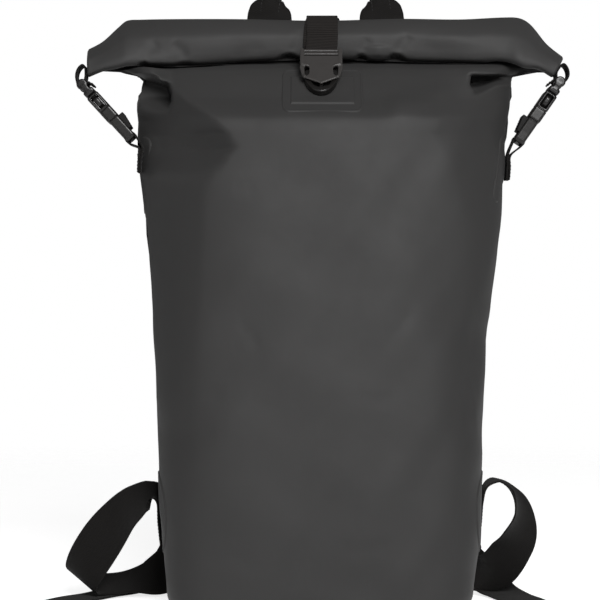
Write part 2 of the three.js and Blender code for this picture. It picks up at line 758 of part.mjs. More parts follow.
// Shoulder straps with ladder locks, and the carrying webbing from the locks to the lower sides

const PADDED = { width: 62, thick: 11, sewnRows: 3 };
const SHOULDER = table(
  ["x", "y", "z", "width", "thick"],
  [
    [48, 0, 371, 56, 4], // the first three rows are sewn to the back, whose depth they take
    [48, 0, 380, 56, 4],
    [48, 0, 388, 56, 4],
    [49, 73, 403, 58, 9],
    [50, 84, 416, 60, 11],
    [52, 101, 414, 62, 11],
    [54, 113, 394, 62, 11],
    [59, 119, 330, 62, 11],
    [66, 119, 250, 62, 11],
    [71, 114, 180, 58, 10],
    [75, 107, 130, 52, 8],
    [80, 102, 100, 44, 6],
    [93, 99, 78, 40, 4],
  ],
);
const LOCK = { half: 23, halfLength: 13, bar: 2, opening: 9.5, openHalf: 20, thick: 2, reach: 16 };
const SEWN_ROWS = [50, 67, 84]; // heights where the carrying webbing is sewn to the lower patch
const SEWN_Y = 18;
const LOOP_ROWS = {
  l: [
    [-135.2, 18.3, 92.6, 0, -1, 0],
    [-141.6, 19.2, 95.4, 0.02, -0.99, -0.1],
    [-150.5, 22.5, 90, 0.12, -0.88, -0.42],
    [-164, 31, 72, 0.42, -0.52, -0.75],
    [-183.6, 42, 45.2, 0.6, -0.15, -0.79],
    [-195.4, 56, 22.5, 0.73, -0.5, -0.46],
    [-190, 71, 15.5, 0.52, -0.72, -0.42],
    [-160, 84, 15, 0.24, -0.84, -0.46],
    [-131, 92, 24, 0.4, -0.4, -0.8],
  ],
  r: [
    [132.5, 18.6, 95.5, 0, 1, 0],
    [140.4, 19.8, 100.5, 0, 1, 0],
    [150.5, 22.5, 96, 0.06, 1, -0.05],
    [159.5, 29, 81, 0.3, 0.95, -0.05],
    [161.5, 40, 62, 0.6, 0.78, -0.18],
    [157, 54, 44.5, 0.76, 0.5, -0.42],
    [144, 70, 25, 0.6, 0.3, -0.74],
    [126, 88, 26, -0.1, 0, -0.98],
    [115, 93, 38, -0.6, 0, -0.75],
  ],
};
const TAIL_ROWS = {
  l: [
    [-126, 112, 30, 0.8, -0.15, -0.55],
    [-141, 110, 14, 0.75, -0.4, -0.5],
    [-160, 98, 5, 0.55, -0.83, -0.1],
    [-182, 78, 1.7, 0.62, -0.78, 0],
    [-200, 52, 1, 0.8, -0.6, 0],
    [-212, 22, 1, 0.92, -0.39, 0],
  ],
  r: [
    [123, 109, 34, -0.8, -0.2, -0.5],
    [135, 107, 15, -0.78, -0.5, -0.4],
    [147, 93, 4.8, -0.82, -0.57, -0.1],
    [156, 71, 1.7, -0.92, -0.39, 0],
    [163, 45, 1, -0.96, -0.26, 0],
    [169, 14, 1, -0.98, -0.2, 0],
  ],
};
function shoulderStrap(tag, side) {
  const rows = SHOULDER.map((row, i) => {
    const x = side * row.x;
    const y = i < PADDED.sewnRows ? backY(x, row.z) + 3 * SEAT + row.thick / 2 : row.y;
    return { ...row, ...stop(vec(x, y, row.z), vec(1, 0, 0)) };
  });
  const end = rows.at(-1);
  end.across = vec(0.78, 0, side * 0.62);
  piece(`shoulder_strap_${tag}`, ribbon(rows, PADDED, 2, SOFT_EDGE), "padding");

  const along = end.at.clone().sub(rows.at(-2).at).normalize();
  const frame = new BuckleFrame(end.at.clone().addScaledVector(along, LOCK.reach), along, end.across);
  const { half, halfLength, bar, opening, openHalf, thick } = LOCK;
  const plate = solidOf(block(-half, half, -halfLength, halfLength, -thick, thick));
  const holes = [-1, 1].map((s) =>
    block(-openHalf, openHalf, ...[s * bar, s * opening].sort((a, b) => a - b), -2 * thick, 2 * thick),
  );
  piece(`ladder_lock_${tag}`, geometryFrom(cut(plate, ...holes)), "plastic", frame.group());

  const across = frame.u.clone().multiplyScalar(tag === "l" ? 1 : -1);
  const at = (v, n) => stop(frame.point(v, n * Math.sign(frame.n.y)), across);
  const wrap = bar + SEAT + CARRY_WEB.thick / 2 + 0.8;
  const sewn = (z) => {
    const x = wallX(side, SEWN_Y, z) + side * (3.5 * SEAT + PATCH + CARRY_WEB.thick / 2);
    return stop(vec(x, SEWN_Y, z), vec(0, side, 0));
  };
  const route = [
    ...SEWN_ROWS.map(sewn),
    ...routeOf(LOOP_ROWS[tag]),
    at(16, -wrap - 0.6),
    at(6, -wrap - 0.2),
    at(0, -wrap),
    at(-wrap * 0.7, -wrap * 0.7),
    at(-wrap, 0),
    at(-wrap * 0.7, wrap * 0.7),
    at(0, wrap),
    at(16, wrap + 1),
    ...routeOf(TAIL_ROWS[tag]),
  ];
  piece(`carry_webbing_${tag}`, ribbon(route, CARRY_WEB, 3), "webbing");
}
for (const [tag, side] of SIDES) shoulderStrap(tag, side);

export default pack;
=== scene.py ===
import math

import bpy
import numpy as np
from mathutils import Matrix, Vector
from mathutils.bvhtree import BVHTree


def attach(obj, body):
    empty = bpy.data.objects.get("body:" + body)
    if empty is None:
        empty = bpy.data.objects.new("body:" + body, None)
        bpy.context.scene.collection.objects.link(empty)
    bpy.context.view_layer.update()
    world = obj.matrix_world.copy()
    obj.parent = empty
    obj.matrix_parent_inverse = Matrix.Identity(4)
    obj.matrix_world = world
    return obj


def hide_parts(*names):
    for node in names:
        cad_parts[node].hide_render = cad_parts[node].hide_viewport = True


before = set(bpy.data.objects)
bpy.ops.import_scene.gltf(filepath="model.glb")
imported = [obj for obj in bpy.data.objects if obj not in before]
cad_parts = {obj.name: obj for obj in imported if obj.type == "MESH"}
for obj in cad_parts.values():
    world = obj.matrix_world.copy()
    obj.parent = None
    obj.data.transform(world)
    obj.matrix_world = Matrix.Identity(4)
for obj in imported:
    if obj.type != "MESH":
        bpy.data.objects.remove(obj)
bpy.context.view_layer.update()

MM = 0.001
SIDES = {"l": -1, "r": 1}

# The view: a level camera, whose focal length and frame are in pixels
CAMERA = {"x": -17.7, "y": -2200.0, "z": 247.0}
FOCAL_PX = 2733.0
FRAME_PX = 600.0


def table(columns, rows):
    """Columns by name, each an array over the rows."""
    return dict(zip(columns.split(), np.array(rows, float).T))


# Driving dimensions of the bag
WALL = 1.4
LAYER_GAP = 0.5
BASE_EDGE = 14.0
CLOSURE_WEB = {"width": 25.0, "thick": 1.4}
CARRY_WEB = {"width": 38.0, "thick": 1.6}
RING_HALF = 240
END_CROWDING = 0.25

SECTIONS = table(
    "z half shift front back front_round back_round",
    [
        [14, 126, -2, 70, 69, 4.2, 4.6],
        [70, 128.3, -2, 76, 71.3, 3.7, 4.6],
        [150, 130.4, -1.9, 79.6, 72, 3.4, 4.6],
        [231, 134.4, -1.4, 80.5, 72, 3.1, 4.4],
        [290, 139.5, 0.1, 80.3, 72, 3.0, 4.2],
        [340, 144.6, 0.4, 79.6, 70.5, 2.9, 3.9],
        [378, 147.5, 0.4, 78.4, 64.5, 2.8, 3.5],
        [388, 148.1, 0.5, 76.4, 61.6, 2.8, 3.4],
        [393, 148.4, 0.6, 72.4, 60, 2.8, 3.3],
        [405, 149, 0.8, 58.5, 55, 2.8, 3.2],
    ],
)
NECK = table(
    "y_front z_front y_back z_back spread droop",
    [
        [-47.5, 417, 47, 418, 0.01, 0.08],
        [-38.5, 426, 36, 429, 0.03, 0.2],
        [-31, 431.5, 24, 437, 0.12, 0.35],
        [-19, 434.5, 12, 443, 0.38, 0.45],
        [-6, 438, 4.5, 446, 0.72, 0.56],
    ],
)
ROLL_AXIS = table(
    "along x z lean half_height shear",
    [
        [-194, -187.5, 435.3, 2, 10.2, 3],
        [-179, -175, 441.2, 4, 11.3, 7],
        [-164, -162, 448.2, 3, 15.6, 9],
        [-157, -156, 451.2, 2.5, 17, 9],
        [-146, -146, 451.6, 1, 17.2, 7],
        [-114, -114, 451.5, 0, 17.2, 1.5],
        [-66, -66, 453.3, 0, 15.5, 0],
        [0, 0, 454, 0, 13.9, 0],
        [63, 63, 453.8, 0, 15.3, 0],
        [110, 110, 452.7, 0, 15.8, 0],
        [146, 146, 453.5, 3, 17, 5],
        [157, 156.5, 452.6, 7, 17.6, 9],
        [164, 163.5, 449.2, 10, 16.8, 9],
        [178, 175.5, 441.2, 20, 10.6, 7],
        [194, 188.5, 432.2, 30, 8.6, 3],
    ],
)
ROLL_MIDDLE = {"z": 454.0, "half_height": 13.9}
FLAT_HALF = 194.0
ROLL = {"y": -13.0, "half_thick": 10.0, "pitch": 4.2, "start": -20.0, "end": 560.0, "steps": 116}

# The roll's section by the angle round it, as shares of half its thickness and height: a sloping upper
# face, an upright belly and a tucked lip
ROLL_PROFILE = table(
    "turn out rise",
    [
        [-30, 0.87, -0.5], [0, 1, 0], [45, 0.75, 0.7], [75, 0.3, 0.97], [90, 0.05, 1], [105, -0.14, 0.96],
        [125, -0.46, 0.75], [145, -0.78, 0.48], [160, -0.98, 0.24], [180, -1.03, -0.05],
        [200, -1.02, -0.35], [220, -0.97, -0.62], [240, -0.8, -0.85], [260, -0.35, -1], [270, 0, -1],
        [300, 0.5, -0.88], [330, 0.87, -0.5], [360, 1, 0], [405, 0.75, 0.7],
    ],
)


def smooth(t):
    """From 0 to 1 with level ends."""
    t = np.clip(t, 0, 1)
    return t * t * (3 - 2 * t)


def fade(value, start, reach):
    """From 0 to 1 as a value goes on from a start, over a reach."""
    return smooth((value - start) / reach)


def curve(rows, key, name, value):
    """A column at a value of the key column, on a smooth curve through the rows."""
    x, y = rows[key], rows[name]
    before = np.maximum(np.arange(len(x)) - 1, 0)
    after = np.minimum(np.arange(len(x)) + 1, len(x) - 1)
    slope = (y[after] - y[before]) / (x[after] - x[before])
    i = np.clip(np.searchsorted(x, value, "right") - 1, 0, len(x) - 2)
    span = x[i + 1] - x[i]
    t = np.clip((value - x[i]) / span, 0, 1)
    bend = slope[i] * span * t * (1 - t) ** 2 - slope[i + 1] * span * t * t * (1 - t)
    return y[i] + (y[i + 1] - y[i]) * smooth(t) + bend


def unit(vectors):
    """Vectors of length one."""
    return vectors / np.maximum(np.linalg.norm(vectors, axis=-1, keepdims=True), 1e-9)


def run(points):
    """The length along a line of points up to each of them."""
    return np.concatenate([[0], np.cumsum(np.linalg.norm(np.diff(points, axis=0), axis=1))])


def seen(points):
    """Where points in millimetres appear in the photograph's frame, in pixels."""
    scale = FOCAL_PX / (points[..., 1] - CAMERA["y"])
    px = FRAME_PX / 2 + (points[..., 0] - CAMERA["x"]) * scale
    py = FRAME_PX / 2 - (points[..., 2] - CAMERA["z"]) * scale
    return np.stack([px, py], -1)


# The bag's wall as a grid: rings from the base up into the roll, points round each ring

SHARES = np.linspace(0, 1, RING_HALF + 1)
SHARES = SHARES - END_CROWDING * np.sin(2 * np.pi * SHARES) / (2 * np.pi)


def half_section(half, shift, depth, roundness, face):
    """Half of a level section, as points at equal shares of its length: face is -1 in front."""
    angle = np.pi * (1 - np.linspace(0, 1, 721))
    power = 2 / roundness
    x = shift + half * np.sign(np.cos(angle)) * np.abs(np.cos(angle)) ** power
    y = face * depth * np.abs(np.sin(angle)) ** power
    length = np.concatenate([[0], np.cumsum(np.hypot(np.diff(x), np.diff(y)))])
    want = SHARES * length[-1]
    return np.stack([np.interp(want, length, x), np.interp(want, length, y)], -1)


def ring_of(front, back):
    """A whole ring from its front half, left to right, and its back half, taken right to left."""
    return np.concatenate([front, back[-2:0:-1]])


def body_ring(z, level, inset):
    """A ring of the body with the section at height z, drawn at a level and moved in by an inset."""
    row = {name: float(curve(SECTIONS, "z", name, z)) for name in SECTIONS}
    halves = [
        half_section(row["half"] - inset, row["shift"], row[depth] - inset, row[depth + "_round"], face)
        for depth, face in (("front", -1), ("back", 1))
    ]
    flat = ring_of(*halves)
    return np.column_stack([flat, np.full(len(flat), level)])


def roll_axis():
    """The roll's axis at each share of the mouth."""
    along = (SHARES - 0.5) * 2 * FLAT_HALF
    get = {name: curve(ROLL_AXIS, "along", name, along) for name in ROLL_AXIS}
    lean = np.radians(get["lean"])
    return {
        "along": along,
        "x": get["x"],
        "z": get["z"],
        "up_x": np.sign(along) * np.sin(lean),
        "up_z": np.cos(lean),
        "squeeze": get["half_height"] / ROLL_MIDDLE["half_height"],
        "shear": get["shear"],
    }


AXIS = roll_axis()


def roll_section(turns):
    """The roll's middle layer across the bag: how far back and up it lies, and its outward normal."""
    angle = np.radians(turns)
    shrink = ROLL["pitch"] * (180 - turns) / 360
    around = np.mod(turns, 360)
    out = (ROLL["half_thick"] + shrink) * curve(ROLL_PROFILE, "turn", "out", around)
    rise = (ROLL_MIDDLE["half_height"] + shrink) * curve(ROLL_PROFILE, "turn", "rise", around)
    ellipse = [np.cos(angle) / ROLL["half_thick"], np.sin(angle) / ROLL_MIDDLE["half_height"]]
    return out, rise, unit(np.stack(ellipse, -1))


# Slow puckers of the roll: where they lie along it and round it, their reach, their slant and their depth
PUCKERS = table(
    "along turn reach reach_turn slant depth",
    [
        [-70, 215, 20, 40, 0.2, 0.8],
        [84, 200, 18, 44, 0.2, 0.9],
        [118, 205, 16, 60, 0.1, -0.7],
        [140, 262, 12, 36, 0.1, 1.6],
        [-130, 190, 12, 40, 0.35, 1.0],
        [-90, 185, 22, 36, 0.3, -0.8],
    ],
)

# The lower edge of the roll's lip in pixels, with arches where the fabric is gathered
LIP = table(
    "px py",
    [
        [108, 74], [125, 70], [136, 67], [140, 61], [145, 60.5], [150, 62.5], [174, 63], [178, 62],
        [182, 61], [188, 61], [193, 62], [196, 62.8], [215, 62.2], [240, 60.5], [276, 58.5], [281, 54.5],
        [286, 52.5], [293, 52.5], [298, 56], [301, 59.5], [354, 59], [358, 54.5], [361, 52.5], [364, 54],
        [368, 58.5], [378, 60], [386, 58.5], [390, 54.5], [393, 52.5], [399, 53], [403, 55.5], [408, 59],
        [430, 59.5], [470, 60], [500, 62], [509, 65],
    ],
)
LIP_BEYOND = 80.0  # the edge past both ends of the lip, in pixels
LIP_TUCK = 13.0  # how far the lip turns in
LIP_SOFT = 3.0  # pixels over which the edge turns in

# Folds of the roll's front: their line in pixels, half width and depth, which is negative for a bulge
ROLL_FOLDS = [
    ([(396, 53), (403, 43), (410, 33)], 5.5, 1.1),
    ([(361, 53), (364, 45), (370, 38)], 5.5, 0.8),
    ([(290, 54), (297, 44), (301, 28)], 5.0, 1.0),
    ([(378, 44), (378, 58)], 9.0, -1.5),
    ([(186, 60), (182, 50), (170, 42)], 5.0, 1.2),
    ([(142, 62), (150, 50), (160, 42)], 6.0, 0.9),
    ([(420, 42), (450, 39), (486, 43)], 6.0, -0.6),
    ([(228, 58), (250, 50), (268, 48)], 6.0, 0.6),
]


def pucker(along, turn):
    """How far the roll is pressed in, over a grid of places along and round it."""
    depth = np.zeros(np.broadcast(along, turn).shape)
    for k in range(len(PUCKERS["along"])):
        row = {name: values[k] for name, values in PUCKERS.items()}
        round_by = (turn - row["turn"]) / row["reach_turn"]
        aside = (along - row["along"] - row["slant"] * (turn - row["turn"])) / row["reach"]
        depth += row["depth"] * np.exp(-aside**2 - round_by**2)
    return depth


def roll_rings(turns, off, edge_inset):
    """Rings of the rolled mouth, whose layers lie at a distance on each side of its middle layer."""
    out, rise, normal = (part[:, None] for part in roll_section(turns))
    pressed = pucker(AXIS["along"][None], turns[:, None])

    def layer(sign):
        shift = sign * off * (np.abs(SHARES - 0.5) < 0.5 - 1e-9) - pressed
        up = (rise + shift * normal[..., 1]) * AXIS["squeeze"]
        x = AXIS["x"] + up * AXIS["up_x"]
        x = x - np.sign(x) * edge_inset * (np.abs(SHARES - 0.5) > 0.5 - 1e-9)
        y = ROLL["y"] + out + shift * normal[..., 0] + AXIS["shear"] * rise / ROLL_MIDDLE["half_height"]
        return np.stack([x, y, AXIS["z"] + up * AXIS["up_z"]], -1)

    front, back = layer(-1), layer(1)
    return tucked(np.concatenate([front, back[:, -2:0:-1]], axis=1))


def tucked(grid):
    """The roll with its lip tucked in below its lower edge, and the folds of its front."""
    at = seen(grid)
    edge = np.interp(at[..., 0], LIP["px"], LIP["py"], left=LIP_BEYOND, right=LIP_BEYOND)
    depth = LIP_TUCK * fade(at[..., 1], edge, LIP_SOFT) + crease_depth(at, ROLL_FOLDS)
    moved = grid.copy()
    moved[..., 1] += depth * fade(ROLL["y"], grid[..., 1], 4)
    return moved


def neck_ring(k):
    """A ring of the neck, between the top section of the body and the flat mouth."""
    row = {name: values[k] for name, values in NECK.items()}
    top = {name: values[-1] for name, values in SECTIONS.items()}
    thinnest = WALL + LAYER_GAP / 2
    y_middle = row["spread"] * (ROLL["y"] + ROLL["half_thick"])
    z_middle = (row["z_front"] + row["z_back"]) / 2
    droop = (AXIS["z"] - ROLL_MIDDLE["z"]) * row["droop"]

    def half(name, face):
        flat = half_section(top["half"], top["shift"], top[name], top[name + "_round"], face)
        fullness = np.abs(flat[:, 1]) / top[name]
        out = face * np.maximum(thinnest, np.abs(row["y_" + name] - y_middle) * fullness)
        out[[0, -1]] = 0
        z = z_middle + (row["z_" + name] - z_middle) * fullness + droop
        x = flat[:, 0] + (AXIS["x"] - flat[:, 0]) * row["spread"]
        return np.column_stack([x, y_middle + out, z])

    return ring_of(half("front", -1), half("back", 1))


def through(keys, first, last, steps):
    """Rings on smooth curves through key rings, from one key to another."""
    gaps = np.sqrt(np.linalg.norm(np.diff(keys, axis=0), axis=-1).mean(1))
    at = np.concatenate([[0], np.cumsum(gaps)])
    slope = np.gradient(keys, at, axis=0)
    rings = []
    for place in np.linspace(at[first], at[last], steps + 1):
        i = int(np.clip(np.searchsorted(at, place, "right") - 1, 0, len(at) - 2))
        span = at[i + 1] - at[i]
        t = (place - at[i]) / span
        rise = t * t * (3 - 2 * t)
        bend = slope[i] * (t * (1 - t) ** 2) - slope[i + 1] * (t * t * (1 - t))
        rings.append(keys[i] + (keys[i + 1] - keys[i]) * rise + bend * span)
    return np.array(rings)


def grid_normals(grid):
    """Outward normals of a grid of rings."""
    around = np.roll(grid, -1, axis=1) - np.roll(grid, 1, axis=1)
    return unit(np.cross(around, np.gradient(grid, axis=0)))


# Folds of the front wall, in pixels of the photograph, with depths in millimetres

# Where the front turns into the darker flank on each side, and how steeply it falls away behind that line
FLANKS = {
    "left": table(
        "py edge slope",
        [
            [76, 165, 0.0], [84, 169, 0.3], [98, 185, 0.5], [108, 200, 0.6], [120, 215, 0.75],
            [133, 228, 0.84], [147, 234, 0.76], [165, 222, 0.6], [178, 207, 0.36], [200, 203, 0.3],
            [230, 203, 0.24], [300, 200, 0.17], [420, 196, 0.06], [520, 190, 0.03],
        ],
    ),
    "right": table(
        "py edge slope",
        [
            [80, 468, 0.0], [90, 464, 0.12], [105, 452, 0.16], [120, 440, 0.17], [134, 432, 0.16],
            [152, 446, 0.12], [180, 458, 0.08], [260, 468, 0.05], [420, 462, 0.08], [500, 462, 0.04],
        ],
    ),
}
FLANK_REACH = 60.0  # pixels behind the line after which the flank falls no further
FLANK_SOFT = 2.4  # pixels over which the line is rounded

# Creases: their line, half width in pixels and depth, which is negative for a ridge
CREASES = [
    ([(168, 84), (185, 98), (200, 108), (215, 120), (228, 133), (234, 147)], 3.0, -0.8),
    ([(233, 152), (222, 165), (207, 178)], 4.0, -0.5),
    ([(380, 110), (415, 102), (460, 90)], 11.0, -3.0),
    ([(247, 402), (266, 405), (287, 402)], 3.0, 0.35),
    ([(353, 396), (378, 400), (402, 394)], 3.5, 0.45),
    ([(383, 344), (399, 330), (414, 309)], 5.0, 0.5),
    ([(236, 322), (252, 336), (262, 352)], 5.0, 0.5),
    ([(150, 238), (163, 262), (176, 284)], 5.0, 0.9),
    ([(470, 372), (475, 404), (481, 440)], 3.0, -1.3),
    ([(456, 462), (466, 440), (476, 424)], 5.0, 0.8),
    ([(470, 280), (478, 320), (474, 362)], 6.0, 0.7),
    ([(176, 398), (200, 392), (228, 396)], 6.0, 0.8),
    ([(166, 430), (190, 440), (222, 436)], 8.0, 0.6),
    ([(232, 190), (246, 186), (258, 193)], 5.0, 0.5),
    ([(330, 548), (358, 552), (396, 544)], 6.0, 0.5),
    ([(196, 560), (230, 556), (262, 570)], 6.0, 0.5),
]
CREASE_END = 0.25  # share of a crease in which it fades out at each end


def line_distance(at, line):
    """The distance of places from a line through points, and the share of the line where they lie."""
    line = np.array(line, float)
    lengths = np.linalg.norm(np.diff(line, axis=0), axis=1)
    total, before = lengths.sum(), np.concatenate([[0], np.cumsum(lengths)])
    best, share = np.full(at.shape[:-1], np.inf), np.zeros(at.shape[:-1])
    for k, length in enumerate(lengths):
        along = (line[k + 1] - line[k]) / length
        t = np.clip((at - line[k]) @ along, 0, length)
        distance = np.linalg.norm(at - line[k] - t[..., None] * along, axis=-1)
        nearer = distance < best
        best = np.where(nearer, distance, best)
        share = np.where(nearer, (before[k] + t) / total, share)
    return best, share


def crease_depth(at, lines):
    """The depth of creases along lines at places in the photograph."""
    depth = np.zeros(at.shape[:-1])
    for line, width, deep in lines:
        distance, share = line_distance(at, line)
        ends = smooth(share / CREASE_END) * smooth((1 - share) / CREASE_END)
        depth += deep * np.exp(-((distance / width) ** 2)) * ends
    return depth


def flank_depth(at):
    """How far the flanks fall away behind the lines where the front turns."""
    depth = np.zeros(at.shape[:-1])
    for name, sign in (("left", 1), ("right", -1)):
        rows = FLANKS[name]
        edge = np.interp(at[..., 1], rows["py"], rows["edge"])
        slope = np.interp(at[..., 1], rows["py"], rows["slope"], left=0, right=0)
        behind = sign * (edge - at[..., 0]) / FLANK_SOFT
        behind = FLANK_SOFT * np.logaddexp(0, np.clip(behind, -30, 30))
        depth += slope * FLANK_REACH * np.tanh(behind / FLANK_REACH)
    return depth


# Hollows under the ends of the roll, a pit on the left and a slot on the right: the share by which the
# front is pressed back towards the middle, how soft their edges are, and the places in pixels, each with a
# reach, where they run out
PIT = {"share": 0.95, "brim_soft": 3, "edge_soft": 5, "ends": (93, 20)}
PIT_EDGE = table("py px", [[80, 166], [83, 169], [92, 173], [100, 174], [110, 171]])
SLOT = {
    "share": 0.94, "brim_soft": 2, "edge_soft": 3, "end": 471.6, "bulge": 4.5, "middle": 81.5, "half": 8,
    "high": 7, "lower": 5, "narrows": (474, 24), "below": 8, "shallow": 0.4, "ends": (484, 26),
}
# The flaps above them: how far they stand forward, where they begin and end across the bag, and a place on
# their lower edge with the slope there
FLAPS = {
    "left": {"stands": 11.5, "begins": (110, 34), "ends": (150, 24), "edge": (144, 78.8, 0.13)},
    "right": {"stands": 3.0, "begins": (460, 14), "ends": (500, 14), "edge": (470, 73.4, 0.02)},
}
FLAP_TOP = (63, 6)
# How soft the lower edges are: the right one is softer towards the middle
FLAP_SOFT = {"left": 2.5, "right": 2, "right_inner": 10, "from": 473, "reach": 6}
# The lower edge of the dark crease under the roll, above which the wall is tucked in
CREASE_EDGE = table(
    "px py",
    [
        [110, 72], [145, 68], [170, 69], [200, 68], [240, 65.5],
        [280, 62.5], [345, 62], [470, 62], [500, 64], [515, 66],
    ],
)
# How far it is tucked in, how soft the edge is, and the depth where the tuck ends, with its reach
CREASE = {"tuck": 14.0, "soft": 2.5, "from": -10, "reach": 8}
FOLDS = {"base": 20, "top": 437, "soft": 3}  # heights between which the front is folded
# Small shifts of the two sides by height, positive to the right
SIDE_SHIFT = {
    "l": table(
        "z shift",
        [
            [0, 5.2], [12, 4.5], [23, 3.9], [46, 2.6], [57, 2.2], [80, 0.9], [102, 1.4], [147, 1.4],
            [170, 0.2], [237, 0], [249, -0.5], [305, 0], [316, -0.8], [328, 0], [339, 0.8], [350, 0],
            [361, -1.1], [373, -1], [390, 0.5], [397, -0.1], [406, -0.9], [416, 0], [421, 1], [423, 1.3],
            [426, 0],
        ],
    ),
    "r": table(
        "z shift",
        [
            [0, -4.8], [23, -4], [38, -3], [54, -0.6], [68, 0.4], [102, 0], [113, 0.8], [125, 1.3],
            [147, 0], [192, -0.3], [204, -1], [215, -1.8], [226, -1.3], [237, 0.5], [260, 1.7],
            [294, 2.3], [305, 2.6], [316, 2.1], [328, 0.6], [339, -0.8], [376, -1.1], [387, -1.2],
            [394, 0.2], [402, 1.3], [411, 1.8], [416, 2.4], [421, 2.4], [424, 1.9], [427, 0],
        ],
    ),
}
# How far the corner under the roll's left end is drawn in, by height
CORNER = table(
    "z pull",
    [[400, 0], [405, 0.6], [410, 1.6], [415, 3.2], [420, 4.6], [423.5, 5.4], [425.5, 4], [428, 0]],
)
CORNER_FROM = (-125, 15)  # where the corner begins, from the middle to the left, and its reach
SIDE_FROM = (80, 60)  # the same for the sides


def brim(name, px):
    """The lower edge of a flap, in pixels."""
    along, low, slope = FLAPS[name]["edge"]
    return low + slope * (px - along)


def hollow(at):
    """The left hollow has a sharp upper and right edge, and the right one is a wedge with a round end."""
    px, py = at[..., 0], at[..., 1]
    edge = np.interp(py, PIT_EDGE["py"], PIT_EDGE["px"])
    left = fade(py, brim("left", px), PIT["brim_soft"]) * fade(edge, px, PIT["edge_soft"])
    left = left * (1 - fade(py, *PIT["ends"]))
    below = py - brim("right", px)
    bulge = np.sqrt(np.clip(1 - ((py - SLOT["middle"]) / SLOT["half"]) ** 2, 0, 1))
    end = SLOT["end"] - SLOT["bulge"] * bulge
    floor = SLOT["high"] - SLOT["lower"] * fade(px, *SLOT["narrows"])
    right = smooth(below / SLOT["brim_soft"]) * fade(px, end, SLOT["edge_soft"])
    right = right * (1 - fade(below, floor, floor + SLOT["below"]))
    right = right * (1 - SLOT["shallow"] * fade(px, *SLOT["ends"]))
    return PIT["share"] * left * (px < FRAME_PX / 2) + SLOT["share"] * right * (px > FRAME_PX / 2)


def flap(at):
    """How far the flaps above the hollows stand forward."""
    px, py = at[..., 0], at[..., 1]
    inner = FLAP_SOFT["right_inner"] * fade(FLAP_SOFT["from"], px, FLAP_SOFT["reach"])
    soft = {"left": FLAP_SOFT["left"], "right": FLAP_SOFT["right"] + inner}
    stands = 0
    for name, row in FLAPS.items():
        within = fade(px, *row["begins"]) * (1 - fade(px, *row["ends"]))
        stands = stands + row["stands"] * (within * (1 - fade(py, brim(name, px), soft[name])))
    return fade(py, *FLAP_TOP) * stands


def folded(wall):
    """The wall with the folds of its front, the hollows and the corner under the roll's left end."""
    at = seen(wall)
    made = wall.copy()
    x, y, z = (wall[..., k] for k in range(3))
    reach = np.maximum(-y, 0.01)
    depth = (crease_depth(at, CREASES) + flank_depth(at)) * np.minimum(1, z / FOLDS["base"])
    made[..., 1] += np.where(y < 0, reach * np.tanh(depth / reach), 0)
    under = fade(FOLDS["top"], z, FOLDS["soft"])
    edge = np.interp(at[..., 0], CREASE_EDGE["px"], CREASE_EDGE["py"])
    crease = fade(edge, at[..., 1], CREASE["soft"])
    pressed = made[..., 1] * (1 - hollow(at) * under) - flap(at) * under * (1 - crease)
    pressed = pressed + CREASE["tuck"] * crease * fade(CREASE["from"], pressed, CREASE["reach"])
    made[..., 1] = np.where(made[..., 1] < -1, pressed, made[..., 1])
    start, reach = CORNER_FROM
    made[..., 0] += np.interp(z, CORNER["z"], CORNER["pull"], left=0, right=0) * fade(start, x, reach)
    for tag, side in SIDES.items():
        shift = np.interp(z, SIDE_SHIFT[tag]["z"], SIDE_SHIFT[tag]["shift"])
        made[..., 0] += shift * fade(side * x, *SIDE_FROM)
    return made


# Slow waves of the filled fabric: wave lengths across and up in millimetres, phase and height
WAVES = table(
    "across up phase height",
    [
        [95, 210, 0.4, 0.5],
        [-70, 130, 1.9, 0.35],
        [52, -88, 3.1, 0.2],
        [140, 61, 4.4, 0.25],
        [-41, 47, 5.2, 0.1],
    ],
)


def wave_height(points):
    """Slow waves over the whole wall, by place."""
    height = np.zeros(points.shape[:-1])
    for k in range(len(WAVES["phase"])):
        swing = points[..., 0] / WAVES["across"][k] + points[..., 2] / WAVES["up"][k]
        swing = swing + points[..., 1] / (WAVES["across"][k] * 1.3)
        height += WAVES["height"][k] * np.sin(2 * np.pi * swing + WAVES["phase"][k])
    return height


# Rings of the wall round its bottom edge, up to a height, above it where they lie closer, and in the neck
RINGS = {"edge": 8, "low": 70, "fine_from": 360.0, "high": 31, "neck": 60}
WAVES_FROM, WAVES_TO = (4, 30), (438, 10)  # heights of the wave's ends, each with its reach


def bag_grid():
    """The outside of the wall and of the roll as rings of points, and the roll's angles."""
    low, top = SECTIONS["z"][0], SECTIONS["z"][-1]
    base = [
        body_ring(low, BASE_EDGE * (1 - math.cos(a)), BASE_EDGE * (1 - math.sin(a)))
        for a in np.linspace(0, math.pi / 2, RINGS["edge"])[:-1]
    ]
    lower = np.linspace(low, RINGS["fine_from"], RINGS["low"])[:-1]
    upper = np.linspace(RINGS["fine_from"], top, RINGS["high"])
    body = [body_ring(z, z, 0) for z in (*lower, *upper)]
    turns = np.linspace(ROLL["start"], ROLL["end"], ROLL["steps"] + 1)
    roll = roll_rings(turns, LAYER_GAP / 2 + WALL, 0)
    keys = [body[-8], body[-1], *(neck_ring(k) for k in range(len(NECK["spread"]))), roll[0], roll[4]]
    neck = through(np.array(keys), 1, len(keys) - 2, RINGS["neck"])[1:-1]
    wall = folded(np.concatenate([base, body, neck]))
    end, reach = WAVES_TO
    standing = fade(wall[..., 2], *WAVES_FROM) * fade(end, wall[..., 2], reach)
    wall = wall + grid_normals(wall) * (standing * wave_height(wall))[..., None]
    return np.concatenate([wall, roll[:1]]), roll, turns


# Meshes


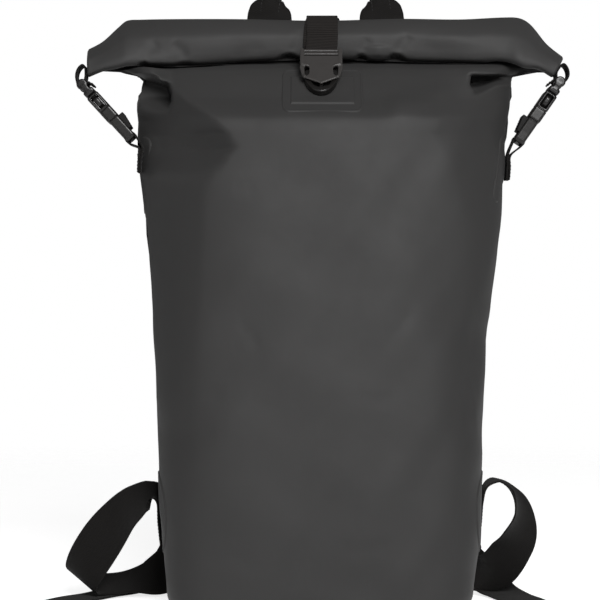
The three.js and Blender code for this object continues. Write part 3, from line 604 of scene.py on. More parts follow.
def mesh_object(name, points, faces, material=None, flat=False):
    """A mesh object from points in millimetres."""
    mesh = bpy.data.meshes.new(name)
    mesh.from_pydata((np.asarray(points, float) * MM).tolist(), [], faces)
    mesh.validate()
    mesh.shade_flat() if flat else mesh.shade_smooth()
    made = bpy.data.objects.new(name, mesh)
    bpy.context.scene.collection.objects.link(made)
    if material:
        mesh.materials.append(material)
    return made


def piece(made, slot, *nodes):
    """Puts a finished object on the bag's one body and hides the imported parts that it stands for."""
    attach(made, "root")
    if nodes:
        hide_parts(*nodes)
    return made


def band_faces(low, high, count):
    """Quads between two rings, by their first indices."""
    j = np.arange(count)
    k = (j + 1) % count
    return np.stack([low + j, low + k, high + k, high + j], -1)


def ring_faces(rows, count, first=0):
    """Quads of a whole stack of rings."""
    starts = first + np.arange(rows) * count
    return np.concatenate([band_faces(low, low + count, count) for low in starts[:-1]])


def tube_faces(rows, count, first=0):
    """Quads of a stack of rings, with a face over each end."""
    last = first + (rows - 1) * count
    ends = [list(range(first, first + count))[::-1], list(range(last, last + count))]
    return ring_faces(rows, count, first).tolist() + ends


INNER_SKIP = 8  # the hidden inside of the wall has a ring for every few of the outside


def shell_faces(outer, inner):
    """A shell from the rings of its outside and its inside, closed at its last rings."""
    kept = np.unique(np.concatenate([np.arange(0, len(inner), INNER_SKIP), [len(inner) - 1]]))
    inner = inner[kept]
    rows, count = outer.shape[:2]
    within = rows * count
    faces = ring_faces(rows, count).tolist()
    faces += ring_faces(len(inner), count, within)[:, ::-1].tolist()
    faces += band_faces((rows - 1) * count, within + (len(inner) - 1) * count, count).tolist()
    return np.concatenate([outer.reshape(-1, 3), inner.reshape(-1, 3)]), faces, within, count


def behind_folds(inside):
    """The inside of the wall with its front set behind the deepest fold near each place."""
    made = inside.copy()
    rows = np.arange(len(inside))
    front = slice(0, RING_HALF + 1)
    steps = range(-INNER_SKIP, INNER_SKIP + 1)
    made[:, front, 1] = np.maximum.reduce([inside[np.clip(rows + k, 0, rows[-1]), front, 1] for k in steps])
    return made


def make_bag(material):
    """The bag's wall with its base, and the rolled mouth; also the outside of both, to lay pieces on."""
    wall, roll, turns = bag_grid()
    inside = behind_folds(wall - grid_normals(wall) * WALL)
    inside[0, :, 2] = WALL
    inner_roll = roll_rings(turns, LAYER_GAP / 2, WALL)
    inside[-1] = inner_roll[0]
    points, faces, within, count = shell_faces(wall, inside)
    faces.append(list(range(count))[::-1])
    faces.append(list(range(within, within + count)))
    piece(mesh_object("bag_body", points, faces, material), "shell", "bag_shell")
    points, faces, within, count = shell_faces(roll, inner_roll)
    faces += band_faces(0, within, count)[:, ::-1].tolist()
    piece(mesh_object("bag_roll", points, faces, material), "shell")
    outer = np.concatenate([wall, roll[1:]])
    rows, count = outer.shape[:2]
    return BVHTree.FromPolygons([Vector(p) for p in outer.reshape(-1, 3)], ring_faces(rows, count).tolist())


def hit(tree, start, direction):
    """Where a line first meets the bag, and the bag's normal there."""
    place, normal, _, _ = tree.ray_cast(Vector(start), Vector(direction).normalized())
    return np.array(place), np.array(normal)


# Welded patches, laid on the wall

PATCHES = {
    "front_patch": {"size": (63.5, 36.6), "corner": 6, "middle": (0, -300, 411.3), "facing": (0, 1, 0)},
    "side_patch_l": {"size": (38, 62), "corner": 8, "middle": (-300, 5, 347), "facing": (1, 0, 0)},
    "side_patch_r": {"size": (60, 54), "corner": 7, "middle": (300, -5, 351), "facing": (-1, 0, 0)},
    "lower_patch_l": {"size": (92, 66), "corner": 30, "middle": (-300, 0, 78), "facing": (1, 0, 0)},
    "lower_patch_r": {"size": (92, 66), "corner": 30, "middle": (300, 0, 78), "facing": (-1, 0, 0)},
}
PATCH_THICK = 0.8
PATCH_SEAT = 0.1  # how far the edge of a patch lies off the wall
PATCH_ROOT = 0.6  # how far its rim reaches back into the wall
PATCH_EDGE = [0, 0.25, 0.6, 1.0, 1.3, 1.65, 2.0]  # insets of the rings at the edge
LEAN = {"side_patch_r": 0.3}  # how far a patch leans forward by its height
RAISED = {"inset": 6.6, "width": 0.9, "high": 0.7}
WELD = {"from": 1.0, "to": 2.0, "deep": 0.4}


def rounded_outline(width, height, corner, count=30):
    """Points of a rectangle with round corners, by quarter."""
    points = []
    for k, (sx, sy) in enumerate(((1, 1), (-1, 1), (-1, -1), (1, -1))):
        u, v = sx * (width / 2 - corner), sy * (height / 2 - corner)
        angles = np.linspace(k, k + 1, count) * math.pi / 2
        points += [(u + corner * math.cos(a), v + corner * math.sin(a)) for a in angles]
    return np.array(points)


def patch_height(name, inset):
    """How far a patch stands out at an inset from its edge."""
    height = PATCH_THICK * float(smooth(inset))
    if name == "front_patch":
        raised = float(fade(inset, RAISED["inset"], RAISED["width"]))
        weld = float(fade(inset, WELD["from"], WELD["to"] - WELD["from"]))
        height += RAISED["high"] * raised - WELD["deep"] * weld * (1 - raised)
    return height


def make_patch(name, tree, material):
    """A patch as rings from its welded edge to its middle, each point laid on the wall."""
    row = PATCHES[name]
    facing = np.array(row["facing"], float)
    across = np.cross(facing, (0, 0, 1))
    deepest = min(row["size"]) / 2 - 0.6
    raised = RAISED["inset"] + np.array([0, 0.4, 0.8, 1.2])
    insets = np.unique(np.concatenate([PATCH_EDGE, raised, np.linspace(2.5, deepest, 14)]))
    rings = []
    for inset in insets[insets <= deepest]:
        width, height = (side - 2 * inset for side in row["size"])
        lift = PATCH_SEAT + patch_height(name, inset)
        ring = []
        for u, v in rounded_outline(width, height, max(row["corner"] - inset, 0.4)):
            start = np.array(row["middle"]) + across * u + np.array((0, LEAN.get(name, 0) * v, v))
            place, normal = hit(tree, start, facing)
            ring.append(place + normal * lift)
        rings.append(ring)
    rings = np.array([np.array(rings[0]) + facing * PATCH_ROOT, *rings])
    faces = tube_faces(*rings.shape[:2])
    made = mesh_object(name + "_skin", rings.reshape(-1, 3), faces, material)
    return piece(made, "patch", name)


# Webbing along routes


def spline(points, t):
    """Points on a centripetal curve through all the given ones, at places counted in spans."""
    p = np.asarray(points, float)
    p = np.concatenate([[2 * p[0] - p[1]], p, [2 * p[-1] - p[-2]]])
    i = np.clip(np.floor(t).astype(int), 0, len(points) - 2)
    a, b, c, d = (p[i + k] for k in range(4))
    gap = [np.linalg.norm(step, axis=-1, keepdims=True) ** 0.5 for step in (b - a, c - b, d - c)]
    gap[1] = np.where(gap[1] < 1e-4, 1, gap[1])
    gap[0] = np.where(gap[0] < 1e-4, gap[1], gap[0])
    gap[2] = np.where(gap[2] < 1e-4, gap[1], gap[2])
    leave = ((b - a) / gap[0] - (c - a) / (gap[0] + gap[1]) + (c - b) / gap[1]) * gap[1]
    arrive = ((c - b) / gap[1] - (d - b) / (gap[1] + gap[2]) + (d - c) / gap[2]) * gap[1]
    w = (t - i)[:, None]
    return b + leave * w + (3 * (c - b) - 2 * leave - arrive) * w**2 + (2 * (b - c) + leave + arrive) * w**3


def sweep(route, web, step):
    """The places along a route, with the directions across it and out of its face, and its sizes."""
    at = np.array([row["at"] for row in route], float)
    spans = np.linalg.norm(np.diff(at, axis=0), axis=1)
    counts = np.maximum(2, np.ceil(spans / step)).astype(int)
    t = np.concatenate([*(k + np.arange(n) / n for k, n in enumerate(counts)), [len(at) - 1.0]])
    place = spline(at, t)
    along = unit(np.gradient(place, axis=0))
    across = spline([row["across"] for row in route], t)
    across = unit(across - along * np.sum(across * along, -1, keepdims=True))
    usual = {"width": web["width"], "thick": web["thick"], "cup": 0.0}
    sizes = spline([[row.get(name, size) for name, size in usual.items()] for row in route], t)
    face = np.cross(along, across)
    return {"place": place, "across": across, "face": face, "sizes": sizes, "length": run(place)}


def stop(at, across, **sizes):
    """A row of a route."""
    return {"at": np.array(at, float), "across": np.array(across, float), **sizes}


def web_section(columns):
    """A webbing's section, with thin round edges, as shares of half its width and thickness."""
    flat = np.linspace(-0.96, 0.96, columns)
    top = [(u, 1.0) for u in flat[::-1]]
    low = [(u, -1.0) for u in flat]
    edge = [(0.985, -0.72), (1.0, 0.0), (0.985, 0.72)]
    return np.array(low + edge + top + [(-u, -v) for u, v in edge])


RIB = {"pitch": 1.55, "high": 0.3}


def make_webbing(name, route, web, material, *nodes, step=1.2, ribbed=False, columns=14):
    """A woven band along a route, with ribs across it where they show; gives back its path."""
    path = sweep(route, web, RIB["pitch"] / 5 if ribbed else step)
    section = web_section(columns)
    half = path["sizes"][:, None, :2] / 2
    level = section[:, 1]
    lift = level * half[..., 1]
    if ribbed:
        rib = RIB["high"] * (np.abs(np.sin(np.pi * path["length"] / RIB["pitch"])) - 0.6)
        lift = lift + np.sign(level) * (np.abs(level) > 0.9) * rib[:, None]
    facing = np.where(path["face"][:, 1:2] > 0, 1, -1)  # a cupped band has its edges behind its middle
    lift = lift + facing * path["sizes"][:, 2:] * (section[:, 0] ** 2 - 0.3)
    points = path["place"][:, None] + path["across"][:, None] * (section[:, :1] * half[..., :1])
    points = points + path["face"][:, None] * lift[..., None]
    rows, count = points.shape[:2]
    made = mesh_object(name, points.reshape(-1, 3), tube_faces(rows, count), material)
    across_mm = np.broadcast_to(section[:, 0] * half[..., 0], (rows, count)).reshape(-1)
    along_mm = np.repeat(path["length"], count)
    uv = made.data.uv_layers.new(name="weave")
    loops = np.array([loop.vertex_index for loop in made.data.loops])
    uv.data.foreach_set("uv", np.stack([across_mm[loops], along_mm[loops]], -1).ravel())
    piece(made, "webbing", *nodes)
    return path


# Places on the bag, and frames on the buckles

SEAT = 0.4  # clearance of a piece that lies on another


def wall_x(tree, side, y, z):
    """Where a side of the bag is."""
    return hit(tree, (side * 400, y, z), (-side, 0, 0))[0][0]


def back_y(tree, x, z):
    """Where the back of the bag is."""
    return hit(tree, (x, 400, z), (0, -1, 0))[0][1]


def roof_z(tree, x, y):
    """Where the top of the bag is."""
    return hit(tree, (x, y, 700), (0, 0, -1))[0][2]


class Frame:
    """A frame on a buckle: u across it, v along it and n out of its face."""

    def __init__(self, origin, along, across):
        self.origin = np.array(origin, float)
        self.v = unit(np.array(along, float))
        across = np.array(across, float)
        self.u = unit(across - self.v * (across @ self.v))
        self.n = np.cross(self.u, self.v)

    def point(self, v, n):
        return self.origin + self.v * v + self.n * n

    def place(self, points):
        return self.origin + points @ np.array([self.u, self.v, self.n])


# Moulded solids, by the distance from their surface

EDGE = 0.6  # usual rounding of a moulded edge


def outside(flat, deep, edge):
    """The distance from a solid that is bounded by two others, with a rounded edge between them."""
    flat, deep = flat + edge, deep + edge
    return np.hypot(np.maximum(flat, 0), np.maximum(deep, 0)) + np.minimum(np.maximum(flat, deep), 0) - edge


def outline_distance(outline, u, v):
    """The distance from an outline, negative inside it."""
    best, within = np.full(u.shape, np.inf), np.zeros(u.shape, bool)
    for (u0, v0), (u1, v1) in zip(outline, np.roll(outline, -1, axis=0)):
        du, dv = u1 - u0, v1 - v0
        t = np.clip(((u - u0) * du + (v - v0) * dv) / (du * du + dv * dv), 0, 1)
        best = np.minimum(best, np.hypot(u - u0 - t * du, v - v0 - t * dv))
        crosses = (v0 > v) != (v1 > v)
        within ^= crosses & (u < u0 + (v - v0) * du / (dv if dv else 1))
    return np.where(within, -best, best)


def mirrored(rows):
    """An outline from its right half."""
    return rows + [(-u, v) for u, v in rows[::-1] if u]


def eased(outline, radius):
    """An outline with its corners rounded."""
    points = np.array(outline, float)
    made = []
    for before, at, after in zip(np.roll(points, 1, axis=0), points, np.roll(points, -1, axis=0)):
        lead, leave = before - at, after - at
        start = at + lead * min(0.45, radius / np.linalg.norm(lead))
        end = at + leave * min(0.45, radius / np.linalg.norm(leave))
        made += [start * (1 - t) ** 2 + at * 2 * t * (1 - t) + end * t * t for t in np.linspace(0, 1, 6)]
    return np.array(made)


def slab(outline, low, high, edge=EDGE, corner=0.8):
    """A plate with an outline in u and v between two heights."""
    outline = eased(outline, corner)

    def distance(u, v, n):
        flat = outline_distance(outline, u[:, :, 0], v[:, :, 0])[:, :, None]
        return outside(flat, np.abs(n - (low + high) / 2) - (high - low) / 2, edge)

    return distance


def block(u0, u1, v0, v1, n0, n1, edge=EDGE):
    """A block with rounded edges."""
    low, high = np.array((u0, v0, n0), float), np.array((u1, v1, n1), float)
    middle, half = (low + high) / 2, (high - low) / 2 - edge

    def distance(u, v, n):
        off = [np.abs(p - m) - h for p, m, h in zip((u, v, n), middle, half)]
        length = np.sqrt(sum(np.maximum(o, 0) ** 2 for o in off))
        return length + np.minimum(np.maximum(np.maximum(off[0], off[1]), off[2]), 0) - edge

    return distance


def bar(start, end, radius):
    """A round bar with round ends."""
    start, along = np.array(start, float), np.subtract(end, start).astype(float)

    def distance(u, v, n):
        off = (u - start[0], v - start[1], n - start[2])
        t = np.clip(sum(o * a for o, a in zip(off, along)) / (along @ along), 0, 1)
        return np.sqrt(sum((o - t * a) ** 2 for o, a in zip(off, along))) - radius

    return distance


def disc(radius, u0, u1, v, n, edge=EDGE):
    """A round plate that faces across."""

    def distance(at_u, at_v, at_n):
        deep = np.abs(at_u - (u0 + u1) / 2) - (u1 - u0) / 2
        return outside(np.hypot(at_v - v, at_n - n) - radius, deep, edge)

    return distance


def blended(a, b, reach):
    """The lesser of two distances, with a fillet."""
    share = np.maximum(reach - np.abs(a - b), 0) / reach
    return np.minimum(a, b) - share * share * reach / 4


def joined(*solids, fillet=0.5):
    """Solids joined, with small fillets where they meet."""

    def distance(u, v, n):
        whole = solids[0](u, v, n)
        for solid in solids[1:]:
            whole = blended(whole, solid(u, v, n), fillet)
        return whole

    return distance


def cut(solid, *cutters, edge=0.5):
    """A solid with others taken out of it, with soft edges."""

    def distance(u, v, n):
        whole = solid(u, v, n)
        for cutter in cutters:
            whole = -blended(-whole, cutter(u, v, n), edge)
        return whole

    return distance


def grooved(solid, lines, width, depth):
    """A solid with shallow grooves round it at places along v."""

    def distance(u, v, n):
        whole = solid(u, v, n)
        groove = np.min([np.abs(v - line) for line in lines], axis=0) - width / 2
        return -blended(-whole, np.maximum(groove, -(whole + depth)), 0.25)

    return distance


def surface(distance, low, high, step):
    """Points and quads where a distance is zero."""
    axes = [np.arange(a, b + step, step) for a, b in zip(low, high)]
    d = distance(*np.meshgrid(*axes, indexing="ij"))
    cells = tuple(n - 1 for n in d.shape)
    total, count, turns = np.zeros((*cells, 3)), np.zeros(cells), []
    for axis in range(3):
        others = [k for k in range(3) if k != axis]
        moved = np.moveaxis(d, axis, 0)
        crossed = (moved[:-1] < 0) != (moved[1:] < 0)
        share = np.where(crossed, moved[:-1] / np.where(crossed, moved[:-1] - moved[1:], 1), 0)
        sums, counts = np.moveaxis(total, axis, 0), np.moveaxis(count, axis, 0)
        for a in (0, 1):
            for b in (0, 1):
                corner = slice(None), slice(a, a + counts.shape[1]), slice(b, b + counts.shape[2])
                sums[..., axis] += share[corner]
                sums[..., others[0]] += a * crossed[corner]
                sums[..., others[1]] += b * crossed[corner]
                counts += crossed[corner]
        turns.append((crossed[:, 1:-1, 1:-1], (moved[:-1] < 0)[:, 1:-1, 1:-1] == (axis != 1)))
    active = count > 0
    ids = np.full(cells, -1)
    ids[active] = np.arange(active.sum())
    points = np.array(low) + step * (np.argwhere(active) + total[active] / count[active][:, None])
    faces = []
    for axis, (crossed, keeps) in enumerate(turns):
        cell = np.moveaxis(ids, axis, 0)
        around = [cell[:, :-1, :-1], cell[:, 1:, :-1], cell[:, 1:, 1:], cell[:, :-1, 1:]]
        quads = np.stack([c[crossed] for c in around], -1)
        faces.append(np.where(keeps[crossed][:, None], quads, quads[:, ::-1]))
    return points, np.concatenate(faces)


def make_moulded(name, distance, low, high, on, material, *nodes, step=0.5):
    """A moulded piece in a buckle's frame."""
    points, faces = surface(distance, low, high, step)
    return piece(mesh_object(name, on.place(points), faces.tolist(), material), "plastic", *nodes)


# Front buckle: a shield-shaped hook over a ring on the front patch

FRONT_FRAME = Frame((-1, -36.5, 438.4), (0, -0.629, -0.777), (-1, 0, 0))
HOOK = {
    "half": 16.6, "inner": 13.5, "top": -4.1, "plate": (4.8, 7.4), "back": -2.6, "bar": 1.8, "bar_v": 7.9,
}
RING = {"low": -1.5, "high": 4.3, "rim": 4.6, "rib": 1.4}
RING_HALF_OUTLINE = [(13.2, 16), (13.2, 23), (12.4, 28), (10.6, 32.2), (7.8, 36), (4.3, 38.6), (0, 39.6)]


def hook_solid():
    """The hook: two posts, a ladder of two bars, a plate with a pointed end, and a prong on each side."""
    low, high = HOOK["plate"]
    half, inner = HOOK["half"], HOOK["inner"]
    shield = [(half, 3.9), (half, 12.7), (15.6, 13.6), (10.2, 15.2), (9.3, 17), (9.6, 23.6)]
    shield += [(12.2, 26.6), (0, 33)]
    plate = slab(mirrored(shield), low, high, edge=0.7)
    rim = joined(*(bar((s * 11.8, 27, high - 0.9), (0, 32.7, high - 0.9), 0.95) for s in (1, -1)))
    rungs = ((-3.3, -1.0), (-0.1, 2.5))
    ladder = [block(-inner - 1, inner + 1, *rung, low + 0.2, high - 0.2, 0.8) for rung in rungs]
    parts = [plate, rim, *ladder]
    for s in (1, -1):
        u0, u1 = sorted((s * inner, s * half))
        parts.append(block(u0, u1, HOOK["top"], 12.7, HOOK["back"], high + 0.5, 1.2))
        parts.append(bar((s * 15.2, 13.0, high - 0.6), (s * 10.8, 14.3, high - 0.5), 1.1))
        prong = [(half + 0.2, 12.4), (half + 0.3, 17), (half - 1.4, 24.4), (half - 3, 27.4)]
        prong += [(half - 5, 26.3), (half - 3.7, 22.6), (half - 3.3, 16.4), (half - 4.4, 13.6)]
        parts.append(slab([(s * u, v) for u, v in prong], low - 0.6, high - 0.5, edge=1.0))
        parts.append(bar((s * 12.9, 25.6, high - 1.2), (s * 13.0, 25.9, high - 1.2), 1.35))
    cross_bar = bar((-inner - 0.4, HOOK["bar_v"], 0), (inner + 0.4, HOOK["bar_v"], 0), HOOK["bar"])
    return joined(*parts, cross_bar)


def ring_solid():
    """The ring: a pointed half round plate with two openings beside a middle rib."""
    low, high, rim = RING["low"], RING["high"], RING["rim"]
    whole = slab(mirrored(RING_HALF_OUTLINE), low, high, edge=1.2, corner=3.0)
    openings = []
    for s in (1, -1):
        hole = [(RING["rib"], 26), (8.6, 26), (7.6, 29.6), (5.4, 32.8), (RING["rib"], 39.6 - rim)]
        openings.append(slab([(s * u, v) for u, v in hole], low - 3, high + 3, edge=0.1, corner=1.5))
    return cut(whole, *openings, edge=0.9)


def make_front_buckle(material, ring_shaded_plastic):
    """The hook and its ring."""
    parts = {
        "hook": (hook_solid(), (-19, -7, -5), (19, 34, 10), material, 0.38),
        # The ring's darker plastic is painted shade under the hook's plate.
        "ring": (ring_solid(), (-17, 13, -4), (17, 45, 7), ring_shaded_plastic, 0.42),
    }
    for name, (solid, low, high, plastic, step) in parts.items():
        make_moulded(name, solid, low, high, FRONT_FRAME, plastic, "front_buckle_" + name, step=step)


# Side buckles: a male half on the end of the roll and a female half on the side of the bag

BUCKLES = {
    "l": {"from": (-191.3, -9, 418.7), "along": (0.674, 0, -0.739), "sewn": (349, 368)},
    "r": {"from": (189.4, -9, 420.8), "along": (-0.569, 0, -0.822), "sewn": (343, 362)},
}
STRAP_ROWS = {
    # x and z between the buckle and the end of the roll
    "l": [
        (-188.9, 425.6), (-188.9, 429.6), (-189.5, 433.2), (-191.3, 434.6), (-193.7, 433),
        (-195.7, 429.6), (-196.4, 425.6), (-195.9, 421.8),
    ],
    "r": [
        (187.1, 428.4), (189.1, 431.9), (191.2, 434.8), (193, 435.2), (194.9, 433.4), (196.4, 430),
        (196.6, 426.4), (195.2, 423),
    ],
}
SIDE_BUCKLE = {
    "half": 16.4, "inner": 13.6, "mouth": 11.0, "waist": 37.0,
    "slot": 48.5, "end_bar": 56.5, "end_half": 2.2,
}
# The grip: its steps along the sleeve, their length and half width, and how their tops fall from a place on
GRIP = {
    "steps": (37.5, 50, 2.2), "long": 2.6, "half": 13.5,
    "low": 3.4, "high": 9.0, "from": 38, "fall": 0.2,
}


def even(u0, u1, v0, v1, thick, edge=EDGE):
    """A block that is as thick on both sides of its middle."""
    return block(u0, u1, v0, v1, -thick, thick, edge)


def male_solid():
    """Round ends on a bar for the strap, a collar, and three prongs."""
    half, inner, mouth = SIDE_BUCKLE["half"], SIDE_BUCKLE["inner"], SIDE_BUCKLE["mouth"]
    parts = [even(-half, half, 5.8, mouth - 0.4, 4.6, 1.6), even(-2, 2, mouth - 1, 28, 2.1, 1.0)]
    parts.append(bar((-inner - 0.4, 0, 0), (inner + 0.4, 0, 0), 1.8))
    for s in (1, -1):
        u0, u1 = sorted((s * inner, s * half))
        parts += [disc(4.4, u0, u1, 0, 0, 1.0), even(u0, u1, 0, 8, 2.7, 1.0)]
        arm = [(half - 1, mouth - 2), (half - 3.4, 12.4), (half - 3.4, 14), (half - 0.4, 15.2)]
        arm += [(half - 0.6, 21.8), (10.4, 26.2), (8.8, 22.5), (9.4, mouth - 2)]
        parts.append(slab([(s * u, v) for u, v in arm], -2.4, 2.4, edge=1.4, corner=2.0))
    return joined(*parts)


def female_solid():
    """A sleeve with a window on each side, a waist and a bar for the strap."""
    half, mouth, waist = SIDE_BUCKLE["half"], SIDE_BUCKLE["mouth"], SIDE_BUCKLE["waist"]
    slot, end_bar, end_half = SIDE_BUCKLE["slot"], SIDE_BUCKLE["end_bar"], SIDE_BUCKLE["end_half"]
    end = end_bar + end_half
    tail = mirrored([(half - 0.8, waist - 2), (half - 1.4, slot), (half - 1.6, end_bar), (half - 2.8, end)])
    sleeve = even(-half, half, mouth, waist + 0.6, 5.2, 1.8)
    body = joined(sleeve, slab(tail, -4.5, 4.5, edge=1.5))
    body = grooved(body, (mouth + 15.4, waist), 0.7, 0.8)
    inside = even(-14.1, 14.1, mouth - 1, 35, 2.7, 0.2)
    windows = [even(*sorted((s * 12.4, s * (half + 3))), 13, 24.5, 3.0, 1.0) for s in (1, -1)]
    septum = even(-1.2, 1.2, mouth + 18, 36, 2.9, 0.3)
    opening = even(-13.1, 13.1, slot, end_bar - end_half, 12, 0.8)
    clears = [block(-13.1, 13.1, slot, end + 3, *n, 0.3) for n in ((-12, -end_half), (end_half, 12))]
    return joined(cut(body, inside, *windows, opening, *clears), septum)


def grip_solid():
    """A dull grip on the inner face of the sleeve, in steps that go down towards the bar."""
    steps = []
    for v in np.arange(*GRIP["steps"]):
        top = GRIP["high"] - GRIP["fall"] * (v - GRIP["from"])
        steps.append(block(-GRIP["half"], GRIP["half"], v, v + GRIP["long"], GRIP["low"], top))
    return joined(*steps)


def make_side_buckle(tag, tree, plastic, dull, webbing, thread):
    """A side buckle with the strap above it and the anchor below it."""
    side, row = SIDES[tag], BUCKLES[tag]
    on = Frame(row["from"], row["along"], (0, side, 0))
    low, high = (-19, -6, -8), (19, 30, 8)
    make_moulded("side_male_" + tag, male_solid(), low, high, on, plastic, "side_buckle_male_" + tag)
    low, high = (-19, 9, -8), (19, 62, 12)
    make_moulded("side_female_" + tag, female_solid(), low, high, on, plastic, "side_buckle_female_" + tag)
    # The grip is painted darker than the sleeve it stands on: painted shade.
    make_moulded("side_grip_" + tag, grip_solid(), (-16, 34, 1), (16, 55, 12), on, dull)

    across = (0, 1, 0)

    def at(v, n):
        return stop(on.point(v, n), across)

    route = [at(6.6, 6.4), at(4.2, 5.8), at(2.2, 5), at(-1.2, 4)]
    route += [stop((x, row["from"][1], z), across) for x, z in STRAP_ROWS[tag]]
    route += [at(-1.8, -3), at(0.8, -3.1), at(2.7, -2), at(3.4, 0.2)]
    path = make_webbing("side_web_" + tag, route, CLOSURE_WEB, webbing, "side_strap_" + tag, step=0.7)
    lines = [web_line(path, 0.5, 9, u, face) for u in (-9.5, 9.5) for face in (1, -1)]
    stitch_piece("side_web_thread_" + tag, lines, thread)

    end_bar = SIDE_BUCKLE["end_bar"]
    wrap = SIDE_BUCKLE["end_half"] * math.sqrt(2) + SEAT + CLOSURE_WEB["thick"] / 2
    layer_step = CLOSURE_WEB["thick"] + SEAT

    def sewn(z, layer):
        out = 2 * SEAT + PATCH_THICK + CLOSURE_WEB["thick"] / 2 + layer * layer_step
        return stop((wall_x(tree, side, row["from"][1], z) + side * out, row["from"][1], z), across)

    low_z, high_z = row["sewn"]
    heights = (low_z, (low_z + high_z) / 2, high_z)
    turn = [(0.8, -0.9), (0, -1), (-0.7, -0.7), (-1, 0), (-0.7, 0.7), (0, 1)]
    route = [sewn(z, 1) for z in heights]
    route += [at(end_bar + wrap * a, wrap * b) for a, b in turn]
    route += [at(end_bar + 2.4, wrap * 0.86), sewn(high_z + 1, 0), *(sewn(z, 0) for z in heights[1::-1])]
    node = "side_anchor_" + tag
    path = make_webbing("side_anchor_web_" + tag, route, CLOSURE_WEB, webbing, node, step=0.7)
    face = side * np.sign(path["face"][3, 0])
    lines = [web_line(path, 1, 15, u, face) for u in (-9.5, 9.5)]
    lines += [web_cross(path, at_length, 9.5, face) for at_length in (1, 14)]
    stitch_piece("side_anchor_thread_" + tag, lines, thread)


# Stitches

STITCH = {"pitch": 2.8, "long": 2.1, "radius": 0.26}


def web_line(path, start, end, u, face):
    """A row of stitches along a webbing, as points and normals."""
    chosen = (path["length"] >= start) & (path["length"] <= end)
    lift = path["sizes"][chosen, 1:2] / 2
    normal = path["face"][chosen] * face
    return path["place"][chosen] + path["across"][chosen] * u + normal * lift, normal


def web_cross(path, length, reach, face):
    """A row of stitches across a webbing."""
    k = int(np.argmin(np.abs(path["length"] - length)))
    u = np.linspace(-reach, reach, 24)[:, None]
    normal = np.repeat(path["face"][k : k + 1] * face, len(u), axis=0)
    return path["place"][k] + path["across"][k] * u + normal * path["sizes"][k, 1] / 2, normal


def stitch_mesh(lines):
    """Short threads along rows, each a bowed six-sided tube that dips into the cloth at its ends."""
    points, faces = [], []
    bow = np.linspace(-0.5, 0.5, 5)
    for line, normals in lines:
        lengths = run(line)
        for middle in np.arange(STITCH["pitch"] / 2, lengths[-1], STITCH["pitch"]):
            at = middle + bow * STITCH["long"]
            spine = np.stack([np.interp(at, lengths, line[:, k]) for k in range(3)], -1)
            up = unit(np.stack([np.interp(at, lengths, normals[:, k]) for k in range(3)], -1))
            along = unit(spine[-1] - spine[0])
            aside = unit(np.cross(up, along))
            spine = spine + up * (STITCH["radius"] * (0.75 - 6 * bow**2))[:, None]
            first = len(points)
            for k in range(len(bow)):
                for a in np.arange(6) * math.pi / 3:
                    off = aside[k] * math.cos(a) + up[k] * math.sin(a)
                    points.append(spine[k] + STITCH["radius"] * off)
            faces += tube_faces(len(bow), 6, first)
    return np.array(points), faces


def stitch_piece(name, lines, material):
    """Rows of stitches as one piece."""
    points, faces = stitch_mesh(lines)
    return piece(mesh_object(name, points, faces, material), "webbing")


# Closure strap: from the back over the roll to the hook's bar and back over the roll as a loose end


def make_closure(tree, material, thread):
    """The closure strap and the stitches at its sewn end."""
    lift = LAYER_GAP / 2 + WALL + SEAT + CLOSURE_WEB["thick"] / 2
    across, x = (1, 0, 0), FRONT_FRAME.origin[0]
    loose = CLOSURE_WEB["thick"] + 0.7
    aside = 0.9  # the loose end lies a little to one side, and the layer under it slants
    wrap = HOOK["bar"] + SEAT + CLOSURE_WEB["thick"] / 2
    bar_v, sewn_z = HOOK["bar_v"], 394.0

    def over(turn, extra, off=0.0):
        out, rise, normal = (part[0] for part in roll_section(np.array([turn], float)))
        reach = lift + extra
        y, z = ROLL["y"] + out + reach * normal[0], ROLL_MIDDLE["z"] + rise + reach * normal[1]
        return stop((x + off, y, z), across)

    def roof(y, extra, off=0.0):
        z = roof_z(tree, x, y) + lift - LAYER_GAP / 2 - WALL + 1 + extra
        return stop((x + off, y + 1.2, z), across)

    def at_bar(v, n, off=0.0):
        place = FRONT_FRAME.point(v, n)
        return stop((place[0] + off, *place[1:]), across)

    route = [stop((x, back_y(tree, x, sewn_z) + SEAT + CLOSURE_WEB["thick"] / 2, sewn_z), across)]
    route += [roof(52, 0), roof(44, 0), roof(34, 0.0, 0.6), roof(22, 0, 1.6), roof(10, 1, 2.5)]
    slants = ((12, 2.8), (45, 2.8), (75, 2.4), (105, 0.6), (140, -0.8), (175, -1.5))
    route += [over(turn, 0.2, off) for turn, off in slants]
    route += [at_bar(-1, -wrap - 0.4), at_bar(bar_v - 1, -wrap), at_bar(bar_v + wrap * 0.8, -wrap * 0.6)]
    route += [at_bar(bar_v + wrap, 0), at_bar(bar_v + wrap * 0.7, wrap * 0.7), at_bar(bar_v - 1, wrap)]
    route += [at_bar(-1, wrap - 0.3)]
    route += [over(turn, 0.2 + loose, aside) for turn in (175, 140, 105, 75, 45, 15)]
    route += [roof(12, 3.6, aside)]
    path = make_webbing("closure_web", route, CLOSURE_WEB, material, "closure_strap", ribbed=True)
    face = np.sign(path["face"][5, 1])
    lines = [web_line(path, 2, 26, u, face) for u in (-10, 10)]
    lines += [web_cross(path, k, 10, face) for k in (2, 26)]
    last = path["length"][-1]
    outer = np.sign(path["face"][-5, 2])
    lines += [web_cross(path, last - k, 10.5, outer) for k in (4, 9)]
    stitch_piece("closure_thread", lines, thread)


# Grab handle: webbing that is flat at its sewn ends and folded double in the grip

HANDLE = {"middle": 3.0, "spread": 45.5, "top": 514.0, "flat": 37.0, "folded": 19.0, "thick": 4.5, "y": 8.0}


